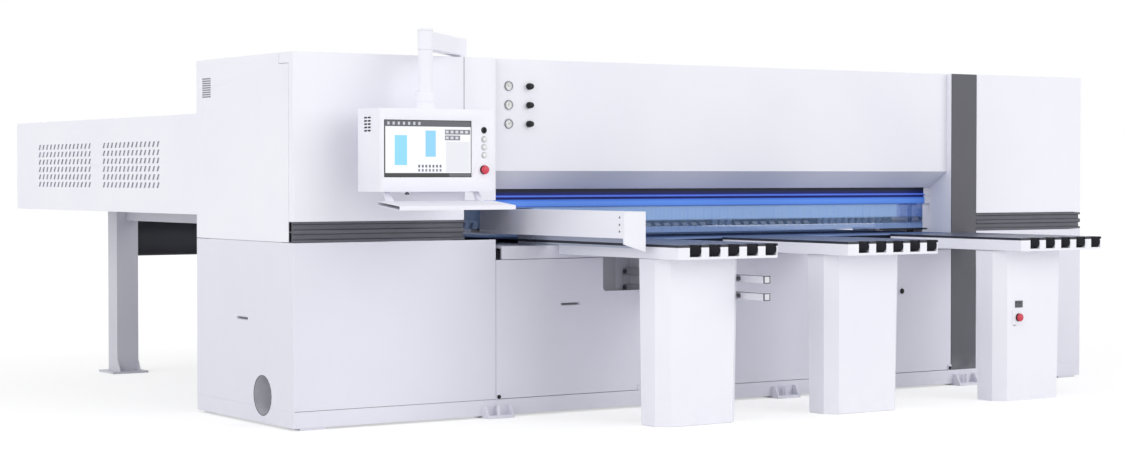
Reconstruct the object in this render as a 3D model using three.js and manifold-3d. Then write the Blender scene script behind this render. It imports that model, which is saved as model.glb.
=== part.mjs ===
// Beam saw for cutting stacked boards to size. Millimetres, Z up.
// Inside the machine group X runs right from the left face of the body, Y runs back from
// its front plane and Z is the height over the floor.

import * as THREE from 'three';
import { mergeVertices } from 'three/addons/utils/BufferGeometryUtils.js';
import Module from 'manifold-3d';

const wasm = await Module();
wasm.setup();

// Overall sizes
const machineWidth = 5718;
const machineHeight = 1950;
const bodyDepth = 1180;
const workHeight = 957;
const rearReach = 4020;
const tableReach = 1110;
const upperSpan = machineHeight - workHeight;

// Clearances and wall thicknesses that all pieces share
const seatGap = 0.3;
const runGap = 0.5;
const seam = 3;
const overrun = 5;
const sheet = 4;
const plate = 12;
const mergeDistance = 0.0001;

// Division of the front
const leftWidth = 1221;
const rightWidth = 928;
const columnWidth = 209;
const plinthHeight = 98;
const lowerHeight = 967;
const railHeight = 106;
const fasciaInset = 45;
const rightX = machineWidth - rightWidth;
const columnX = rightX - seam - columnWidth;
const upperHeight = lowerHeight + seam;
const coverHeight = upperHeight + railHeight;
const coverWidth = 1025;

// Heights of the hood and the top beam, as shares of the body's height over the table
function rise(share) {
  return workHeight + share * upperSpan;
}
const infillBottom = rise(0.2246);
const bevelBottom = rise(0.285);
const bevelTop = rise(0.3857);
const headerDrop = 102;
const headerBottom = bevelBottom - headerDrop;
const topBeamBottom = rise(0.6878);
const rearOpeningTop = rise(0.708);

// Saw line and the structure along it
const sawLineShare = 0.534;
const frameFrontShare = 0.2712;
const frameDepthShare = 0.3475;
const sawLine = sawLineShare * bodyDepth;
const frameFront = frameFrontShare * bodyDepth;
const frameDepth = frameDepthShare * bodyDepth;
const frameBack = frameFront + frameDepth;
const tableThickness = 27.7;
const tableBottom = workHeight - tableThickness;

// Front tables and pedestals, and what stands in line with them
const tableWidth = 658;
const firstTableInset = 737;
const lastTableInset = 182;
const middleTableShare = 0.4684;
const tieSide = 17.5;
const panelLeftInset = 19;
const panelRightInset = 836;
const tableCentreLeft = leftWidth + firstTableInset;
const tableCentreRight = columnX - lastTableInset;
const tableCentres = [
  tableCentreLeft,
  tableCentreLeft + middleTableShare * (tableCentreRight - tableCentreLeft),
  tableCentreRight,
];
const pedestalWidth = 525;
const pedestalOffsets = [-26, -20, -38];
const pedestalCentres = tableCentres.map((x, i) => x + pedestalOffsets[i]);
const tieX = pedestalCentres[0] + pedestalWidth / 2 + tieSide;
const panelLeftEdge = tieX - panelLeftInset;
const panelRightEdge = columnX - panelRightInset;

// Finishes
const roundSteps = 16;
const smallSteps = 10;
const latheSteps = 12;
const ductSteps = 20;
const white = { color: 0xf0f0f6, roughness: 0.45, metalness: 0.05 };
const dark = { color: 0x5a5a62, roughness: 0.55, metalness: 0.2 };
const anthracite = { color: 0x2c2d33, roughness: 0.6, metalness: 0.3 };
const aluminium = { color: 0x8a8c92, roughness: 0.4, metalness: 0.8 };
const steel = { color: 0xa4a8ae, roughness: 0.3, metalness: 0.9 };
const black = { color: 0x141417, roughness: 0.5, metalness: 0 };
const red = { color: 0xc8324b, roughness: 0.35, metalness: 0 };
const pale = { color: 0xe8e8e2, roughness: 0.3, metalness: 0 };
const blue = { color: 0x2f5fc8, roughness: 0.3, metalness: 0 };
const strip = { color: 0x8fb4e8, roughness: 0.15, metalness: 0, transparent: true, opacity: 0.6 };
const phenolic = { color: 0x3a4254, roughness: 0.3, metalness: 0.1 };
const glass = { color: 0x101114, roughness: 0.1, metalness: 0 };

// Solids: closed meshes joined and cut as manifolds

function solid(geometry) {
  const bare = geometry.index ? geometry.toNonIndexed() : geometry.clone();
  bare.deleteAttribute('normal');
  bare.deleteAttribute('uv');
  const merged = mergeVertices(bare, mergeDistance);
  return new wasm.Manifold(new wasm.Mesh({
    numProp: 3,
    vertProperties: new Float32Array(merged.attributes.position.array),
    triVerts: new Uint32Array(merged.index.array),
  }));
}

function join(pieces) {
  return pieces.reduce((whole, piece) => whole.add(piece));
}

function cut(body, tools) {
  return tools.reduce((rest, tool) => rest.subtract(tool), body);
}

// Block between two corners
function block(x0, x1, y0, y1, z0, z1) {
  const geometry = new THREE.BoxGeometry(x1 - x0, y1 - y0, z1 - z0);
  return solid(geometry.translate((x0 + x1) / 2, (y0 + y1) / 2, (z0 + z1) / 2));
}

// Turns a shape drawn in a plane and extruded along its normal onto the machine's axes.
// Along x the drawing's axes are Y and Z, along y they are X and Z, along z they are X and Y.
const turns = {
  x: new THREE.Matrix4().set(0, 0, 1, 0, 1, 0, 0, 0, 0, 1, 0, 0, 0, 0, 0, 1),
  y: new THREE.Matrix4().set(1, 0, 0, 0, 0, 0, -1, 0, 0, 1, 0, 0, 0, 0, 0, 1),
  z: new THREE.Matrix4(),
};

function prism(axis, points, from, to, holes = []) {
  const shape = new THREE.Shape(points.map(([u, v]) => new THREE.Vector2(u, v)));
  for (const hole of holes) {
    shape.holes.push(new THREE.Path(hole.map(([u, v]) => new THREE.Vector2(u, v))));
  }
  const geometry = new THREE.ExtrudeGeometry(shape, { depth: to - from, bevelEnabled: false });
  geometry.applyMatrix4(turns[axis]);
  const shift = { x: [from, 0, 0], y: [0, to, 0], z: [0, 0, from] }[axis];
  return solid(geometry.translate(...shift));
}

function rectangle(u0, u1, v0, v1) {
  return [[u0, v0], [u1, v0], [u1, v1], [u0, v1]];
}

function arc(u, v, radius, start, end, steps) {
  const points = [];
  for (let i = 0; i <= steps; i++) {
    const angle = THREE.MathUtils.degToRad(start + (end - start) * i / steps);
    points.push([u + radius * Math.cos(angle), v + radius * Math.sin(angle)]);
  }
  return points;
}

function circle(u, v, radius, steps = roundSteps) {
  return arc(u, v, radius, 0, 360, steps).slice(0, steps);
}

function cylinder(axis, u, v, radius, from, to, steps = roundSteps) {
  return prism(axis, circle(u, v, radius, steps), from, to);
}

function roundedRectangle(u0, u1, v0, v1, radius, steps = 4) {
  return [
    ...arc(u1 - radius, v1 - radius, radius, 0, 90, steps),
    ...arc(u0 + radius, v1 - radius, radius, 90, 180, steps),
    ...arc(u0 + radius, v0 + radius, radius, 180, 270, steps),
    ...arc(u1 - radius, v0 + radius, radius, 270, 360, steps),
  ];
}

// Body between a low and a high outline with the same number of points
function loft(lowPoints, lowZ, highPoints, highZ) {
  const count = lowPoints.length;
  const flat = lowPoints.map(([x, y]) => new THREE.Vector2(x, y));
  const caps = THREE.ShapeUtils.triangulateShape(flat, []);
  const points = [
    ...lowPoints.map(([x, y]) => [x, y, lowZ]),
    ...highPoints.map(([x, y]) => [x, y, highZ]),
  ];
  const faces = [];
  for (const [a, b, c] of caps) {
    faces.push(c, b, a, a + count, b + count, c + count);
  }
  for (let i = 0; i < count; i++) {
    const next = (i + 1) % count;
    faces.push(i, next, next + count, i, next + count, i + count);
  }
  const geometry = new THREE.BufferGeometry();
  geometry.setAttribute('position', new THREE.Float32BufferAttribute(points.flat(), 3));
  geometry.setIndex(faces);
  return solid(geometry);
}

// Round body turned about an axis: pairs of a place along the axis and a radius
function turned(axis, u, v, profile, steps = roundSteps) {
  const turnedProfile = profile.map(([place, radius]) => new THREE.Vector2(radius, place));
  const geometry = new THREE.LatheGeometry(turnedProfile, steps);
  const toAxis = { x: [0, 0, -Math.PI / 2], y: [0, 0, 0], z: [Math.PI / 2, 0, 0] }[axis];
  geometry.applyMatrix4(new THREE.Matrix4().makeRotationFromEuler(new THREE.Euler(...toAxis)));
  const shift = { x: [0, u, v], y: [u, 0, v], z: [u, v, 0] }[axis];
  return solid(geometry.translate(...shift));
}

// Scene graph
const group = new THREE.Group();
const machine = new THREE.Group();
machine.position.set(-machineWidth / 2, -(rearReach - tableReach) / 2, 0);
group.add(machine);

function add(name, body, finish, parent = machine) {
  const mesh = body.getMesh();
  const geometry = new THREE.BufferGeometry();
  geometry.setAttribute('position', new THREE.BufferAttribute(mesh.vertProperties, 3));
  geometry.setIndex(new THREE.BufferAttribute(mesh.triVerts, 1));
  const node = new THREE.Mesh(geometry, new THREE.MeshStandardMaterial(finish));
  node.name = name;
  parent.add(node);
  return node;
}

// Sub-assembly with its own origin
function unit(x, y, z, parent = machine) {
  const part = new THREE.Group();
  part.position.set(x, y, z);
  parent.add(part);
  return part;
}

// Dust outlet: round extraction duct through the left side, low down
const portRadius = 108;
const portWall = 5;
const portY = 361;
const portZ = 157;
const ductLength = 620;
const ductRimInset = 2;
const ductExitRoom = 60;

const portHole = cylinder('x', portY, portZ, portRadius + seatGap, -overrun,
  ductLength + ductExitRoom, ductSteps);

function dustOutlet() {
  const rim = portRadius - portWall;
  return turned('x', portY, portZ, [
    [ductRimInset, rim], [ductRimInset, portRadius], [ductLength, portRadius],
    [ductLength, rim], [ductRimInset, rim],
  ], ductSteps);
}
add('dust_outlet', dustOutlet(), anthracite);

// Base frame: closed plinth over open bays, with front bracket feet and floor pads
const skirtGap = 12;
const bayCount = 10;
const footWidth = 170;
const footReach = 60;
const footGrip = 120;
const footRise = 70;
const footCheekLean = 25;
const middleFootShare = 0.6675;
const middleFootX = panelLeftEdge + middleFootShare * (panelRightEdge - panelLeftEdge);
const padSize = 150;
const padInset = 40;
const padShares = [0, 0.34, 0.66, 1];

function baseFrame() {
  const bay = (machineWidth - plate) / bayCount;
  let frame = block(0, machineWidth, 0, bodyDepth, skirtGap, plinthHeight);
  for (let i = 0; i < bayCount; i++) {
    frame = frame.subtract(block(
      plate + i * bay, (i + 1) * bay, plate, bodyDepth - plate,
      skirtGap - overrun, plinthHeight - plate,
    ));
  }
  const cheek = [
    [plate, skirtGap / 2], [-footReach, skirtGap / 2], [-footReach, skirtGap],
    [-footCheekLean, footRise], [plate, footRise],
  ];
  for (const x of [leftWidth, middleFootX, columnX + columnWidth / 2]) {
    const left = x - footWidth / 2;
    const right = x + footWidth / 2;
    frame = join([
      frame,
      block(left, right, -footReach, footGrip, 0, skirtGap + overrun),
      prism('x', cheek, left, left + plate),
      prism('x', cheek, right - plate, right),
      cylinder('z', x, -footReach / 2, plate, skirtGap - plate / 2, footRise, 8),
    ]);
  }
  const span = machineWidth - padSize - 2 * padInset;
  for (const share of padShares) {
    const x = padInset + share * span;
    frame = frame.add(block(x, x + padSize, bodyDepth - padSize, bodyDepth - plate / 2,
      0, skirtGap + overrun));
  }
  for (const x of [padInset, padInset + span]) {
    frame = frame.add(block(x, x + padSize, plate / 2, padSize, 0, skirtGap + overrun));
  }
  return frame.subtract(portHole);
}
add('base_frame', baseFrame(), white);

// Main frame: end posts, main beam with the carriage ways, top beam and lift cylinders
const postInset = 40;
const postWidth = 200;
const mainBeamDepthShare = 0.1525;
const mainBeamDepth = mainBeamDepthShare * bodyDepth;
const mainBeamBottom = 480;
const topBeamHeightShare = 0.2417;
const topBeamHeight = topBeamHeightShare * upperSpan;
const frameWall = 12;
const accessHoleRadius = 60;
const windowLeftReach = 233;
const windowLeft = panelLeftEdge - windowLeftReach;
const windowRightReach = 42;
const windowRight = panelLeftEdge + windowRightReach;
const windowLow = 620;
const windowHigh = 860;
const accessHoleCount = 2;
const wayDepth = 20;
const wayHeight = 24;
const wayHeights = [560, 850];
const apronLeftInset = 41;
const apronLeft = leftWidth + apronLeftInset;
const apronRightInset = 18;
const apronRight = columnX - apronRightInset;
const apronInset = 2;
const apronBottom = 858;
const pressTop = bevelBottom;
const carrierHeight = 90;
const liftRoom = topBeamBottom - pressTop - carrierHeight;
const cylinderRadius = 45;
const cylinderLengthShare = 0.645;
const rodLengthShare = 0.71;
const cylinderLength = cylinderLengthShare * liftRoom;
const rodLength = rodLengthShare * liftRoom;
const cylinderInset = 420;
const rodRadius = 17;
const postLeft = postInset + postWidth;
const postRight = machineWidth - postInset - postWidth;
const mainBeamBack = frameFront + mainBeamDepth;

function tube(x0, x1, y0, y1, z0, z1, wall) {
  return prism('x', rectangle(y0, y1, z0, z1), x0, x1,
    [rectangle(y0 + wall, y1 - wall, z0 + wall, z1 - wall)]);
}

function mainFrame() {
  const foot = plinthHeight + seatGap;
  const top = topBeamBottom + topBeamHeight;
  const beamTop = tableBottom - seatGap;
  const pieces = [
    tube(postLeft - frameWall, postRight + frameWall, frameFront, mainBeamBack,
      mainBeamBottom, beamTop, frameWall),
    tube(postLeft - frameWall, postRight + frameWall, frameFront, frameBack,
      topBeamBottom, top, frameWall),
    block(apronLeft, apronRight, apronInset, frameFront + frameWall,
      beamTop - frameWall, beamTop),
    block(apronLeft, apronRight, apronInset, apronInset + frameWall, apronBottom, beamTop),
    block(apronRight - frameWall, rightX - seam - seatGap, apronInset, apronInset + frameWall,
      apronBottom, beamTop),
    block(columnX, rightX - seam - seatGap, apronInset, apronInset + frameWall,
      beamTop - frameWall, workHeight),
    block(apronRight - frameWall, rightX - seam - seatGap, apronInset, frameFront + frameWall,
      beamTop - frameWall, beamTop),
  ];
  for (const x of [postInset, postRight]) {
    pieces.push(prism('z', rectangle(x, x + postWidth, frameFront, frameBack), foot, top,
      [rectangle(x + frameWall, x + postWidth - frameWall,
        frameFront + frameWall, frameBack - frameWall)]));
  }
  for (const z of wayHeights) {
    pieces.push(block(postLeft - frameWall, postRight + frameWall,
      mainBeamBack - frameWall, mainBeamBack + wayDepth, z - wayHeight / 2, z + wayHeight / 2));
  }
  for (const x of [cylinderInset, machineWidth - cylinderInset]) {
    pieces.push(cylinder('z', x, sawLine, cylinderRadius,
      topBeamBottom - cylinderLength, topBeamBottom + frameWall));
  }
  const tools = [];
  for (const x of [cylinderInset, machineWidth - cylinderInset]) {
    tools.push(cylinder('z', x, sawLine, rodRadius + runGap,
      topBeamBottom - cylinderLength - overrun, topBeamBottom, smallSteps));
  }
  const pitch = (postRight - postLeft) / accessHoleCount;
  for (let i = 0; i < accessHoleCount; i++) {
    const x = postLeft + (i + 0.5) * pitch;
    tools.push(cylinder('z', x, frameFront + mainBeamDepth / 2, accessHoleRadius,
      topBeamBottom - overrun, topBeamBottom + frameWall + overrun, smallSteps));
  }
  const window = block(windowLeft, windowRight, frameFront - overrun,
    frameFront + frameWall + overrun, windowLow, windowHigh);
  return cut(join(pieces), [...tools, portHole, window]);
}
add('main_frame', mainFrame(), white);

// Lower cabinets: wrapped sheet shells, open towards the saw and at the top
const returnFlange = 60;
const cabinetWall = 4;
const handleShare = 0.51;
const handleY = handleShare * bodyDepth;
const handleZ = 553;
const handleLength = 135;
const handleHeight = 16;
const handleDepth = 9;
const handleWall = 3;
const rimInsetShare = 0.125;
const seatPostX = 590;
const seatPostWidth = 140;
const seatPostDepth = 80;
const sideBeamX = 633;
const sideBeamWidth = 80;
const sideBeamHeight = 81;
const sideBeamBottom = 1016;

// A flush finger slot as a shallow dish behind a face, open at the face
function fingerDish(axis, u, v, face, inward) {
  const half = handleLength / 2;
  const tall = handleHeight / 2;
  const ends = [face - inward * overrun, face + inward * handleDepth].sort((a, b) => a - b);
  return prism(axis, roundedRectangle(u - half, u + half, v - tall, v + tall, tall, 5), ...ends);
}

function fingerBacking(axis, u, v, face, inward) {
  const half = handleLength / 2 + handleWall;
  const tall = handleHeight / 2 + handleWall;
  const ends = [face, face + inward * (handleDepth + handleWall)].sort((a, b) => a - b);
  return prism(axis, rectangle(u - half, u + half, v - tall, v + tall), ...ends);
}

const postClearance = 2;

function postPassage(x) {
  return block(x - postClearance, x + postWidth + postClearance, frameFront - postClearance,
    frameBack + postClearance, plinthHeight, plinthHeight + plate);
}

function lowerCabinet(outer, inner, side) {
  const [x0, x1] = [outer, inner].sort((a, b) => a - b);
  const low = plinthHeight + seatGap;
  const hollow = [outer + side * cabinetWall, inner + side * overrun].sort((a, b) => a - b);
  const flange = [inner - side * cabinetWall, inner].sort((a, b) => a - b);
  let shell = block(x0, x1, 0, bodyDepth, low, lowerHeight);
  shell = shell.subtract(block(hollow[0], hollow[1], cabinetWall, bodyDepth - cabinetWall,
    low + cabinetWall, lowerHeight + overrun));
  const lip = plate / 2;
  const rimOuter = outer + side * lip;
  const rim = [rimOuter, rimOuter + side * cabinetWall].sort((a, b) => a - b);
  const rimLow = lowerHeight - railHeight;
  const rimFront = rimInsetShare * bodyDepth;
  const seat = outer + side * seatPostX;
  const post = [seat, seat + side * seatPostWidth].sort((a, b) => a - b);
  shell = join([
    shell,
    block(flange[0], flange[1], 0, returnFlange, low, lowerHeight),
    block(rim[0], rim[1], rimFront, bodyDepth - rimFront, rimLow, upperHeight - seatGap),
    block(Math.min(outer, rim[0]), Math.max(outer, rim[1]), rimFront, bodyDepth - rimFront,
      rimLow, rimLow + cabinetWall),
    block(post[0], post[1], bodyDepth - seatPostDepth, bodyDepth, low, sideBeamBottom - seatGap),
  ]);
  return shell;
}

function leftLowerCabinet() {
  const shell = lowerCabinet(0, leftWidth, 1).add(fingerBacking('x', handleY, handleZ, 0, 1));
  return cut(shell, [portHole, postPassage(postInset), fingerDish('x', handleY, handleZ, 0, 1)]);
}
add('left_lower_cabinet', leftLowerCabinet(), white);
add('right_lower_cabinet',
  lowerCabinet(machineWidth, rightX, -1).subtract(postPassage(postRight)), white);

// Upper cabinets: shells that are open towards the hood and behind, under the rear covers
const coverDepth = 49;
const rearSill = 1098;
const rearCoverWidth = 720;
const returnDepth = 260;
const columnDepth = 6;
const bossInset = 50;
const bossX = coverWidth + bossInset;
const bossY = 150;
const bossRadius = 52;
const bossHeight = 7;
const hingeArmWidth = 40;
const hingeArmReach = 158;
const hingeArmHeight = 57;
const hingeClearance = 2;

// Openings in the rear wall for the pusher and its side beam
function rearOpenings(outer, inner, side) {
  const wide = [outer + side * cabinetWall, inner + side * overrun].sort((a, b) => a - b);
  const low = [outer + side * (seatPostX - overrun), inner + side * overrun].sort((a, b) => a - b);
  const back = bodyDepth - cabinetWall - overrun;
  return [
    block(wide[0], wide[1], back, bodyDepth + overrun, rearSill, rearOpeningTop),
    block(low[0], low[1], back, bodyDepth + overrun, upperHeight - overrun, rearSill + overrun),
  ];
}

function hingeNotches(clearance) {
  return [0, coverWidth - seam - hingeArmWidth].map((x) => block(
    x - (x > 0 ? clearance : overrun), x + hingeArmWidth + clearance,
    coverDepth - overrun, hingeArmReach + clearance,
    machineHeight - hingeArmHeight - clearance, machineHeight + overrun,
  ));
}

function leftUpperCabinet() {
  const frontEdge = coverDepth + seam;
  const lip = cabinetWall;
  let shell = block(0, leftWidth, 0, bodyDepth, upperHeight, machineHeight);
  shell = cut(shell, [
    block(-overrun, coverWidth - seam, -overrun, frontEdge,
      upperHeight - overrun, machineHeight + overrun),
    block(coverWidth - seam - overrun, leftWidth + overrun, -overrun, frontEdge + cabinetWall,
      upperHeight - overrun, infillBottom),
    block(cabinetWall, coverWidth - cabinetWall, cabinetWall, bodyDepth - cabinetWall,
      upperHeight - overrun, machineHeight - cabinetWall),
    block(coverWidth - cabinetWall - overrun, leftWidth + overrun, cabinetWall,
      bodyDepth - cabinetWall, upperHeight - overrun, machineHeight - cabinetWall),
    ...rearOpenings(0, leftWidth, 1),
  ]);
  const inset = seam + lip;
  const frontFrame = block(seam, coverWidth - seam + cabinetWall, coverDepth + seatGap,
    frontEdge + cabinetWall, upperHeight, machineHeight - seam);
  const frontHole = block(inset + returnFlange, coverWidth - returnFlange, coverDepth - overrun,
    frontEdge + cabinetWall + overrun, upperHeight + returnFlange, machineHeight - returnFlange);
  shell = join([
    shell,
    frontFrame.subtract(frontHole),
    block(coverWidth, coverWidth + cabinetWall, 0, frontEdge + cabinetWall,
      infillBottom, machineHeight),
    block(coverWidth, leftWidth, 0, frontEdge, infillBottom, infillBottom + cabinetWall),
    cylinder('z', bossX, bossY, bossRadius, machineHeight - cabinetWall,
      machineHeight + bossHeight),
  ]);
  return cut(shell, hingeNotches(hingeClearance));
}
add('left_upper_cabinet', leftUpperCabinet(), white);

function rightUpperCabinet() {
  const railTop = coverHeight + seam;
  const shell = block(columnX, machineWidth, 0, bodyDepth, upperHeight, machineHeight);
  return join([
    cut(shell, [
      block(columnX - overrun, rightX, -overrun, columnDepth + seatGap,
        upperHeight - overrun, machineHeight + overrun),
      block(rightX - overrun, machineWidth + overrun, -overrun, coverDepth + seatGap,
        upperHeight - overrun, railTop),
      block(columnX - overrun, machineWidth - cabinetWall, returnFlange,
        bodyDepth - cabinetWall, upperHeight - overrun, machineHeight - cabinetWall),
      block(columnX - overrun, rightX - cabinetWall, columnDepth + cabinetWall, returnFlange + overrun,
        upperHeight - overrun, machineHeight - cabinetWall),
      block(rightX, machineWidth - cabinetWall, cabinetWall, returnFlange + overrun,
        railTop + cabinetWall, machineHeight - cabinetWall),
      ...rearOpenings(machineWidth, columnX, -1),
    ]),
    block(columnX, columnX + cabinetWall, columnDepth + seatGap, returnDepth,
      workHeight + seatGap, machineHeight),
  ]);
}
add('right_upper_cabinet', rightUpperCabinet(), white);

// Left cover: folded tray with two hinge arms that reach back into the roof
function leftUpperCover() {
  const right = coverWidth - seam;
  let cover = block(0, right, 0, coverDepth, coverHeight, machineHeight);
  cover = cover.subtract(block(cabinetWall, right - cabinetWall, cabinetWall,
    coverDepth + overrun, coverHeight + cabinetWall, machineHeight - cabinetWall));
  const arms = [0, right - hingeArmWidth].map((x) => block(
    x, x + hingeArmWidth, coverDepth - cabinetWall * 2, hingeArmReach,
    machineHeight - hingeArmHeight, machineHeight,
  ));
  return join([cover, ...arms]);
}
add('left_upper_cover', leftUpperCover(), white);

// Grip rails: hollow aluminium profile with two front grooves
const railWall = 4;
const grooveDepth = 16;
const grooveShares = [[0.1, 0.42], [0.58, 0.9]];
const grooveLipShare = 0.12;

function railProfile(z0, height) {
  const points = [[0, z0]];
  for (const [low, high] of grooveShares) {
    const lip = (high - low) * grooveLipShare * height;
    points.push(
      [0, z0 + low * height], [railWall, z0 + low * height + lip],
      [grooveDepth, z0 + low * height + lip], [grooveDepth, z0 + high * height - lip],
      [railWall, z0 + high * height - lip], [0, z0 + high * height],
    );
  }
  points.push([0, z0 + height], [coverDepth, z0 + height], [coverDepth, z0]);
  const chambers = [[0, 0.5], [0.5, 1]].map(([low, high]) => rectangle(
    grooveDepth + railWall, coverDepth - railWall,
    z0 + low * height + railWall, z0 + high * height - railWall,
  ));
  return [points, chambers];
}

function gripRail(x0, x1) {
  const [points, chambers] = railProfile(upperHeight, railHeight - seatGap);
  return prism('x', points, x0, x1, chambers);
}
add('left_rail', gripRail(0, coverWidth), aluminium);
add('right_rail', gripRail(rightX, machineWidth), aluminium);

// Hood: fascia, bevel and roof folded in one section along the opening
const bevelReach = 190;
const hoodLip = 230;
const gaugeInset = 112;
const gaugeX = leftWidth + gaugeInset;
const knobInset = 242;
const knobX = leftWidth + knobInset;
const gaugeDrops = [147, 250, 353];
const gaugeHeights = gaugeDrops.map((drop) => machineHeight - drop);
const gaugeRadius = 25;
const gaugeClearance = 2;
const knobStemRadius = 8;

function hood() {
  const inner = fasciaInset + sheet;
  const section = [
    [fasciaInset, machineHeight], [fasciaInset, bevelTop], [bevelReach, bevelBottom],
    [hoodLip, bevelBottom], [hoodLip, bevelBottom + sheet], [bevelReach + sheet, bevelBottom + sheet],
    [inner, bevelTop + sheet], [inner, machineHeight - sheet],
    [bodyDepth - sheet, machineHeight - sheet], [bodyDepth - sheet, rearOpeningTop],
    [bodyDepth, rearOpeningTop], [bodyDepth, machineHeight],
  ];
  const holes = gaugeHeights.flatMap((z) => [
    cylinder('y', gaugeX, z, gaugeRadius + gaugeClearance, 0, fasciaInset + sheet + overrun),
    cylinder('y', knobX, z, knobStemRadius + runGap, 0, fasciaInset + sheet + overrun,
      smallSteps),
  ]);
  return cut(prism('x', section, leftWidth + seatGap, columnX - seatGap), holes);
}
add('hood', hood(), white);

// Pressure gauges on one air manifold behind the fascia, with a regulator knob beside each
const manifoldDepth = 40;
const manifoldMargin = 45;
const gaugeProud = 4;
const gaugeDish = 3;
const gaugeRim = 3;
const knobRadius = 18;
const knobWaist = 15;
const knobLength = 34;
const knobGap = 1;
const knobStemLength = 12;

function gaugeSet() {
  const back = fasciaInset + sheet + seatGap;
  const high = Math.max(...gaugeHeights) + manifoldMargin;
  const low = Math.min(...gaugeHeights) - manifoldMargin;
  let body = block(gaugeX - manifoldMargin, knobX + manifoldMargin, back, back + manifoldDepth,
    low, high);
  for (const z of gaugeHeights) {
    body = body.add(cylinder('y', gaugeX, z, gaugeRadius, fasciaInset - gaugeProud, back + sheet));
    body = body.subtract(cylinder('y', gaugeX, z, gaugeRadius - gaugeRim,
      fasciaInset - gaugeProud - overrun, fasciaInset - gaugeProud + gaugeDish));
    body = body.subtract(cylinder('y', knobX, z, knobStemRadius + runGap,
      back - overrun, back + knobStemLength + seatGap, smallSteps));
  }
  return body;
}
add('gauge_set', gaugeSet(), pale);

function regulatorKnob(z) {
  const face = fasciaInset - knobGap;
  return turned('y', knobX, z, [
    [face - knobLength, 0], [face - knobLength, knobWaist], [face - knobLength / 2, knobWaist],
    [face - knobLength / 2, knobRadius], [face, knobRadius], [face, knobStemRadius],
    [fasciaInset + sheet + knobStemLength, knobStemRadius],
    [fasciaInset + sheet + knobStemLength, 0],
  ], smallSteps);
}
gaugeHeights.forEach((z, i) => add(`regulator_knob_${i + 1}`, regulatorKnob(z), black));

// Column: dark tray over the joint between the opening and the right cabinet
const columnFlange = 4;

function column() {
  const right = columnX + columnWidth;
  const low = plinthHeight + seatGap;
  const outer = block(columnX, right, 0, columnDepth, low, machineHeight);
  const legs = [[columnX + seam, columnX + seam + columnFlange],
    [right - seam - columnFlange, right - seam]];
  const stiffeners = legs.map(([x0, x1]) => block(x0, x1, columnDepth - sheet / 2,
    returnFlange, low, apronBottom - seam));
  return join([outer, ...stiffeners]).subtract(block(columnX - overrun, right + overrun,
    columnDepth / 2, returnFlange + overrun, apronBottom - seatGap, workHeight + seatGap));
}

// The table apron passes in front of the column, so the tray is pinched to a web there
function pinchedColumn() {
  const right = columnX + columnWidth;
  return column().subtract(block(columnX - overrun, right + overrun, apronInset - seatGap,
    returnFlange + overrun, apronBottom - seatGap, workHeight + seatGap));
}
add('column', pinchedColumn(), dark);

// Lower front panels between the cabinets: two that tilt out on bottom pins, and a fixed one
// that the tie arms pass through
const tieWidth = 38;
const tieHeight = 38;
const tieHeights = [654, 746];
const tieFront = 1085;
const tiePassage = 6;
const panelDepth = 30;
const panelTop = 855;
const panelSheet = 3;
const notchWidth = 264;
const notchHeight = 188;
const notchRadius = 24;
const pinBlockWidth = 25;
const pinBlockHeight = 35;
const pinBlockProud = 8;
const pinBlockRelief = 3;
const slotHandleZ = 603;
const lockInset = 420;
const lockX = columnX - lockInset;
const lockZ = 604;
const lockRadius = 16;
const lockProud = 10;
const panelLow = plinthHeight + seam;

function tray(x0, x1) {
  return block(x0, x1, 0, panelDepth, panelLow, panelTop).subtract(block(
    x0 + panelSheet, x1 - panelSheet, panelSheet, panelDepth + overrun,
    panelLow + panelSheet, panelTop - panelSheet,
  ));
}

// Bottom pin block at a lower corner of a tilting panel
function pinBlock(x) {
  const low = plinthHeight + seatGap;
  return prism('x', [
    [-pinBlockProud, low + pinBlockRelief], [pinBlockProud / 2, low], [panelDepth, low],
    [panelDepth, plinthHeight + pinBlockHeight], [-pinBlockProud, plinthHeight + pinBlockHeight],
  ], x, x + pinBlockWidth);
}

function lowerPanelLeft() {
  const x0 = leftWidth + seam;
  const x1 = panelLeftEdge - seam / 2;
  const middle = (x0 + panelLeftEdge) / 2;
  const cornerX = panelLeftEdge - notchWidth;
  const cornerZ = panelTop - notchHeight;
  const corner = [
    [x1 + overrun, cornerZ], [x1 + overrun, panelTop + overrun], [cornerX, panelTop + overrun],
    ...arc(cornerX + notchRadius, cornerZ + notchRadius, notchRadius, 180, 270, 6),
  ];
  const lined = [
    [x1, cornerZ - panelSheet], [x1, cornerZ], [cornerX, cornerZ], [cornerX, panelTop],
    [cornerX - panelSheet, panelTop], [cornerX - panelSheet, cornerZ - panelSheet],
  ];
  return cut(join([
    tray(x0, x1), prism('y', lined, 0, panelDepth),
    fingerBacking('y', middle, slotHandleZ, 0, 1), pinBlock(x0), pinBlock(x1 - pinBlockWidth),
  ]), [prism('y', corner, -overrun, panelDepth + overrun),
    fingerDish('y', middle, slotHandleZ, 0, 1)]);
}

function lowerPanelRight() {
  const x0 = panelRightEdge + seam / 2;
  const x1 = columnX - seam;
  return join([
    tray(x0, x1), pinBlock(x0), pinBlock(x1 - pinBlockWidth),
    cylinder('y', lockX, lockZ, lockRadius, -lockProud, panelSheet, smallSteps),
  ]);
}
add('lower_panel_left', lowerPanelLeft(), white);

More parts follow.
